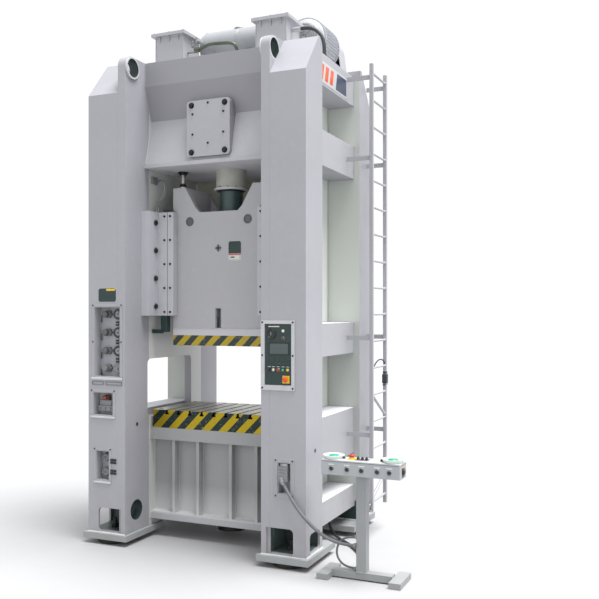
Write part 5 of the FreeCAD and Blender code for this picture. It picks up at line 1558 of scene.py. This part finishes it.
# %% Fan grille, bands and screws
cowl = Workpiece()
GRILLE_Y = 0.413
for radius in (0.045, 0.075, 0.105, 0.135, 0.165):
    depth = GRILLE_Y if radius < 0.14 else 0.420
    ring = [Vector((x, depth, z)) for x, z in around(MOTOR_X, MOTOR_Z, radius, 49, step=7.5)]
    cowl.tube(ring, 0.0035, 6)
for step in range(8):
    out = direction(45 * step)
    centre = Vector((MOTOR_X, GRILLE_Y, MOTOR_Z))
    cowl.tube([centre + out * 0.02, centre + out * 0.135, centre + out * 0.182
        + Vector((0, 0.014, 0))], 0.004, 6)
cowl.turn("Y", (MOTOR_X, 0.416, MOTOR_Z), [(0, -0.008), (0.026, -0.006), (0.030, 0.004), (0, 0.004)], 28)
piece("motor_fan_grille", cowl, "zinc")
bands = Workpiece()
for depth in (0.492, 0.926):
    bands.turn("Y", (MOTOR_X, depth, MOTOR_Z), [(MOTOR_RADIUS - 0.002, -0.010),
        (MOTOR_RADIUS + 0.010, -0.008), (MOTOR_RADIUS + 0.010, 0.008), (MOTOR_RADIUS - 0.002, 0.010)],
        64)
bands.turn("Z", (MOTOR_X - 0.05, 0.730, 5.982), [(0.020, -0.010), (0.026, -0.010), (0.026, -0.001),
    (0.020, -0.001)], 20)
piece("motor_end_bands", bands, "motor")
motor_bolts = [(MOTOR_X + side * 0.185, y, 5.342) for side in (-1, 1) for y in (0.515, 0.915)]
screw_set("motor_foot_bolts", hex_bolt, "Z", motor_bolts, 0.013, 1, finish="zinc")
box_bolts = [(MOTOR_X + x, y, 5.9790) for x in (-0.068, 0.068) for y in (0.652, 0.808)]
screw_set("motor_box_screws", pan_screw, "Z", box_bolts, 0.0045, 1, finish="zinc")
print("motor bolted down with", len(motor_bolts), "bolts")

# %% [markdown]
# The ladder's rails and rungs are CAD pieces. A welder's ring closes each rung end, beads hold the
# brackets, and two slanting braces stiffen the lower bays.

# %% Ladder welds and braces
LADDER_X, RAIL_FRONT, RAIL_REAR = 1.526, 0.350, 0.850
rings = Workpiece()
for rung in range(17):
    height = 0.400 + 0.300 * rung
    for depth, out in ((RAIL_FRONT + 0.020, 1), (RAIL_REAR - 0.020, -1)):
        rings.turn("Y", (LADDER_X, depth, height), [(0.0132, 0.0), (0.0195, 0.0), (0.0165, 0.005),
            (0.0132, 0.008)], 20, out)
for height in (1.150, 2.236, 4.250, 5.150):
    for depth, face in ((RAIL_FRONT, BEAM_OUT), (RAIL_REAR, COLUMN_OUT)):
        for edge in (depth - 0.006, depth + 0.006):
            for x in (face, 1.506):
                rings.bead((x, edge, height - 0.025), (x, edge, height + 0.025), 0.004)
piece("ladder_weld_rings", rings, plain_enamel)
braces = Workpiece()
for low, high in ((1.330, 1.600), (0.640, 0.440)):
    braces.tube([Vector((LADDER_X, RAIL_FRONT + 0.018, high)),
        Vector((LADDER_X, 0.6, (low + high) / 2)), Vector((LADDER_X, RAIL_REAR - 0.018, low))], 0.016,
        12)
piece("ladder_braces", braces, plain_enamel)
print("rungs welded between", RAIL_FRONT, "and", RAIL_REAR, "m")

# %% [markdown]
# Plastic caps close the rails' ends. A lock switch with an arched lead sits on the rear rail at
# head height, so that nobody climbs while the press runs, and a padlock hook hangs at the foot.

# %% Ladder caps, lock switch and hook
caps = Workpiece()
for depth in (RAIL_FRONT, RAIL_REAR):
    for height, reach in ((5.2935, 0.0045), (0.3015, -0.0045)):
        caps.block((LADDER_X - 0.0185, LADDER_X + 0.0185), (depth - 0.0185, depth + 0.0185),
            sorted((height, height + reach)), 0.002)
piece("ladder_rail_caps", caps, "black")
switch = Workpiece()
switch.block((1.496, 1.556), (0.820, 0.880), (1.690, 1.800), 0.006)
switch.block((1.503, 1.549), (0.826, 0.874), (1.800, 1.836), 0.008)
switch.turn("Z", (LADDER_X, 0.850, 1.836), [(0.0, 0.0), (0.016, 0.0), (0.016, 0.020), (0.010, 0.024),
    (0, 0.024)], 20)
switch.block((1.512, 1.540), (0.790, 0.912), (1.668, 1.682), 0.003)
switch.block((1.518, 1.534), (0.842, 0.858), (1.672, 1.700), 0.002)
piece("ladder_lock_switch", switch, "lock")
lead = [(LADDER_X, y, z) for y, z in ((RAIL_FRONT + 0.021, 1.880), (0.420, 1.905), (0.520, 1.960),
    (0.650, 1.985), (0.780, 1.965), (0.842, 1.915), (0.850, 1.856))]
bent_tubes("ladder_switch_lead", [lead], 0.008, "cable")
hook = [(LADDER_X, y, z) for y, z in ((0.330, 0.400), (0.290, 0.392), (0.268, 0.360), (0.272, 0.320),
    (0.300, 0.300), (0.328, 0.318), (0.331, 0.350))]
bent_tubes("ladder_hook", [hook], 0.007, "zinc")
print("ladder dressed")

# %% [markdown]
# The two-hand console is what the operator touches all day. Its front has five black push buttons
# in bright rings, each with a bare label above. The lid is a separate pressing with a shadow gap,
# held by six screws.

# %% Console front and lid
console_low, console_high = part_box("console_box")
BOX_FRONT, BOX_TOP = console_low.y, console_high.z
CONSOLE_Y = -0.990
BUTTON_XS = (1.600, 1.757, 1.900, 2.054, 2.171)
CUP_XS = (1.590, 2.180)
LID_GAP = (1.1105, 1.1135)
buttons, rims, strips = Workpiece(), Workpiece(), Workpiece()
for x in BUTTON_XS:
    rims.turn("Y", (x, BOX_FRONT, 1.045), [(0.0185, 0.0015), (0.0185, -0.004), (0.022, -0.0055),
        (0.0245, -0.003), (0.0245, 0.0015)], 32)
    buttons.turn("Y", (x, BOX_FRONT, 1.045), [(0, -0.0085), (0.014, -0.008), (0.0178, -0.005),
        (0.0178, 0.001), (0, 0.001)], 28)
    strips.block((x - 0.030, x + 0.030), (BOX_FRONT - 0.0012, BOX_FRONT + 0.0005), (1.078, 1.090), 0.0004)
piece("console_front_rings", rims, "zinc")
piece("console_front_buttons", buttons, "black")
gap = Workpiece()
for y in (BOX_FRONT, console_high.y):
    gap.block((1.512, 2.262), (y - 0.0008, y + 0.0008), LID_GAP, 0.0003)
for x in (console_low.x, console_high.x):
    gap.block((x - 0.0008, x + 0.0008), (-1.078, -0.902), LID_GAP, 0.0003)
piece("console_lid_gap", gap, "black")
screw_set("console_lid_screws", pan_screw, "Z", [(x, y, BOX_TOP) for x in (1.520, 1.885, 2.254)
    for y in (-1.068, -0.912)], 0.006, 1, finish="zinc")
print(len(BUTTON_XS), "push buttons on the console")

# %% [markdown]
# On the lid, selectors stand between the two palm buttons, on a bright plate, and the emergency
# stop has a yellow disc and collar. A key switch sits on the box's right end. Knobs and collars
# are turned, and each selector's bar is a block.

# %% Console selectors and stop
cluster = Workpiece()
for x in (1.690, 2.070):
    cluster.turn("Z", (x, CONSOLE_Y, BOX_TOP), [(0, 0.018), (0.012, 0.018), (0.015, 0.014),
        (0.015, 0.004), (0.021, 0.003), (0.021, -0.001), (0, -0.001)], 28)
for x in (1.838, 1.880, 1.922):
    cluster.turn("Z", (x, CONSOLE_Y - 0.006, BOX_TOP), [(0, 0.022), (0.011, 0.022), (0.014, 0.018),
        (0.014, 0.005), (0.019, 0.003), (0.019, -0.001), (0, -0.001)], 28)
    cluster.block((x - 0.003, x + 0.003), (CONSOLE_Y - 0.020, CONSOLE_Y + 0.008),
        (BOX_TOP + 0.021, BOX_TOP + 0.031), 0.002)
piece("console_selectors", cluster, "black")
plates = Workpiece()
plates.block((1.812, 1.948), (-1.052, -0.948), (BOX_TOP - 0.001, BOX_TOP + 0.0025), 0.001)
piece("console_switch_plate", plates, "zinc")
STOP_X = 1.776
disc = Workpiece().turn("Z", (STOP_X, CONSOLE_Y, BOX_TOP), [(0.0335, -0.001), (0.046, -0.001),
    (0.046, 0.003), (0.0335, 0.003)], 44)
collar = Workpiece().turn("Z", (STOP_X, CONSOLE_Y, BOX_TOP), [(0.0345, 0.003), (0.0325, 0.0165),
    (0.0315, 0.0175), (0.0300, 0.0165), (0.0320, 0.002)], 44)
piece("console_stop_disc", disc, "yellow")
piece("console_stop_collar", collar, "yellow")
end_knob = Workpiece()
end_knob.block((2.275, 2.278), (-1.035, -0.945), (1.000, 1.095), 0.001)
end_knob.turn("X", (2.278, CONSOLE_Y, 1.048), [(0, 0.0165), (0.018, 0.0165), (0.024, 0.0140),
    (0.026, 0.008), (0.032, 0.006), (0.032, -0.001), (0, -0.001)], 28)
piece("console_key_switch", end_knob, "black")
key_plate = Workpiece().block((2.2775, 2.2790), (-1.030, -0.950), (1.083, 1.094), 0.0004)
piece("console_key_plate", key_plate, "yellow")
piece("console_bare_labels", strips, "dial")
print("selectors and stop collar fitted")

# %% [markdown]
# Both palm buttons sit in mint cups held by four screws each. The green ring round a palm button
# rides on the button's own body, so that it sinks with it when the palm comes down.

# %% Palm cups and grips
cup_bolts = [(x, y, BOX_TOP + 0.006) for middle in CUP_XS for x, y in around(middle, CONSOLE_Y, 0.075,
    4, first=45)]
screw_set("cup_screws", cap_screw, "Z", cup_bolts, 0.005, 1, finish="zinc")
for word, x in zip(("left", "right"), CUP_XS):
    grip = Workpiece().turn("Z", (x, CONSOLE_Y, BOX_TOP), [(0.0465, 0.0275), (0.0400, 0.0305),
        (0.0375, 0.0302), (0.0440, 0.0272)], 44)
    piece(f"palm_grip_ring_{word}", grip, "green", f"palm_{word}")
print(len(cup_bolts), "screws in the palm cups")

# %% [markdown]
# The console's stand is a square post on a base of flat bars. Small weld beads run round the foot
# and the head of the post, and up the corners where the bars of the base meet.

# %% Stand welds
POST_X, POST_Y = (1.832, 1.928), (-1.038, -0.942)
stand = Workpiece()
for y in POST_Y:
    for z, size in ((0.075, 0.005), (0.985, 0.004)):
        stand.bead((POST_X[0], y, z), (POST_X[1], y, z), size)
for x in POST_X:
    for z, size in ((0.075, 0.005), (0.985, 0.004)):
        stand.bead((x, POST_Y[0], z), (x, POST_Y[1], z), size)
for x in (1.587, 2.180):
    for y in (-1.035, -0.945):
        stand.bead((x, y, 0.010), (x, y, 0.075), 0.005)
stand.block((1.790, 1.970), (-1.070, -0.910), (0.979, 0.986), 0.002)
piece("console_stand_welds", stand, stand_enamel_painted_shade)
print("console dressed")

# %% [markdown]
# The bolster is a ground plate whose T-slots are already cut in the CAD model. Dowel plugs close
# four holes at its corners, and two clamps a side hold it down on the bed.

# %% Bolster and bed
BOLSTER_TOP = bolster_high.z
pins = Workpiece()
for x in (-0.72, 0.72):
    for y in (bolster_low.y + 0.08, bolster_high.y - 0.08):
        pins.turn("Z", (x, y, BOLSTER_TOP), [(0, 0.0005), (0.022, 0.0005), (0.022, 0.002),
            (0.026, 0.002), (0.026, -0.001), (0, -0.001)], 28)
piece("bolster_dowel_plugs", pins, "dark_steel")
clamps = Workpiece()
for side in (-1, 1):
    for y in (bolster_low.y + 0.16, bolster_high.y - 0.16):
        clamps.block(sorted((side * 0.781, side * 0.812)), (y - 0.045, y + 0.045), (1.227, 1.262), 0.003)
        clamps.turn("Z", (side * 0.797, y, 1.262), [(0, 0), (0.013, 0, 6), (0.013, 0.014, 6),
            (0, 0.014)], 18)
piece("bolster_clamps", clamps, "dark_steel")
print("bolster fixed")

# %% [markdown]
# At the back, a sheet guard covers the flywheel and its belts. Its louvred lid is part of the
# enamel mixed above; what it needs here are two hinges on one side and a row of screws along its
# rim, round the flywheel and round the motor pulley.

# %% Flywheel guard
GUARD_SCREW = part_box("flywheel_guard")[1].y - 0.0062
HINGE_X, HINGE_Y = 0.0265, 1.150
hinges = Workpiece()
for height in (4.330, 4.950):
    pin = [Vector((HINGE_X, HINGE_Y, height + shift)) for shift in (-0.045, 0, 0.045)]
    hinges.tube(pin, 0.008, 14)
    hinges.block((0.020, 0.030), (1.110, 1.190), (height - 0.040, height + 0.040), 0.002)
piece("guard_hinges", hinges, "zinc")
guard_edge = [(x, GUARD_SCREW, z) for x, z in around(HUB_X, HUB_Z, 0.488, 13, first=150, step=20)
    + around(MOTOR_X, MOTOR_Z, 0.182, 4, first=20, step=46)]
screw_set("guard_screws", pan_screw, "Y", guard_edge, 0.009, 1, finish="zinc")
print(len(guard_edge), "guard screws")

# %% [markdown]
# A sheet hangs from the crown behind the slide and catches the oil that the crank throws off. It
# is folded at its lower edge, stiffened by two ribs and screwed to the crown's underside, and it
# shuts off the view through the press above the slide.

# %% Splash sheet
splash = Workpiece()
splash.block((-0.812, 0.812), (0.5000, 0.5030), (3.600, 4.1345), 0.0008)
splash.block((-0.812, 0.812), (0.4800, 0.5030), (3.598, 3.601), 0.0008)
splash.block((-0.812, 0.812), (0.5030, 0.5400), (4.1310, 4.1345), 0.0008)
for x in (-0.42, 0.42):
    splash.block((x - 0.015, x + 0.015), (0.5025, 0.5180), (3.640, 4.110), 0.004)
piece("oil_splash_sheet", splash, "splash")
splash_screws = [(x / 10, 0.522, 4.131) for x in range(-7, 8, 2)]
screw_set("splash_sheet_screws", pan_screw, "Z", splash_screws, 0.008, -1)
print("splash sheet hung on", len(splash_screws), "screws")

# %% [markdown]
# Even the hidden drive gets its proper look, because the press may be opened or shown in
# section. Screws on the crank webs and a keyed ring on the main gear's hub turn with the crank.

# %% Drive details
CRANK_Z = HUB_Z
webs = Workpiece()
for depth, out in ((-0.241, -1), (0.027, 1)):
    for x, z in around(0, CRANK_Z, 0.175, 8):
        cap_screw(webs, "Y", (x, depth, z), 0.014, out)
piece("crank_web_screws", webs, "dark_steel", "crank")
hub = Workpiece()
hub.turn("Y", (0, 0.180, CRANK_Z), [(0.0805, -0.001), (0.118, -0.001), (0.118, 0.012), (0.110, 0.016),
    (0.0805, 0.016)], 48)
hub.block((-0.012, 0.012), (0.181, 0.200), (CRANK_Z + 0.078, CRANK_Z + 0.094), 0.001)
piece("main_gear_hub_ring", hub, "cast", "crank")
print("crank webs and gear hub detailed")

# %% [markdown]
# Screwed caps on the flywheel and the motor pulley turn with their own shafts, so each rides on
# its own body. The bearing rings stay still with the frame.

# %% Hub caps and bearing rings
CRANK_BORE, HUB_BORE = 0.081, 0.046
for name, body, x, z, bore, radius in (("flywheel_hub_cap", "flywheel", HUB_X, HUB_Z, HUB_BORE, 0.100),
        ("pulley_hub_cap", "motor_rotor", MOTOR_X, MOTOR_Z, 0.0, 0.060)):
    cap = Workpiece().turn("Y", (x, 1.210, z), [(bore, -0.001), (radius, -0.001), (radius, 0.008),
        (radius * 0.9, 0.012), (bore, 0.012)], 40)
    for screw_x, screw_z in around(x, z, radius * 0.78, 6):
        cap_screw(cap, "Y", (screw_x, 1.220, screw_z), radius * 0.08, 1)
    piece(name, cap, "dark_steel", body)
bearing = Workpiece()
for x, depth, bore in ((0.0, 0.265, CRANK_BORE), (HUB_X, 0.624, HUB_BORE)):
    bearing.turn("Y", (x, depth, CRANK_Z), [(bore, -0.001), (bore + 0.055, -0.001),
        (bore + 0.055, 0.014), (bore + 0.045, 0.018), (bore, 0.018)], 48)
piece("bearing_rings", bearing, "dark_steel")
print("drive train detailed")

# %% [markdown]
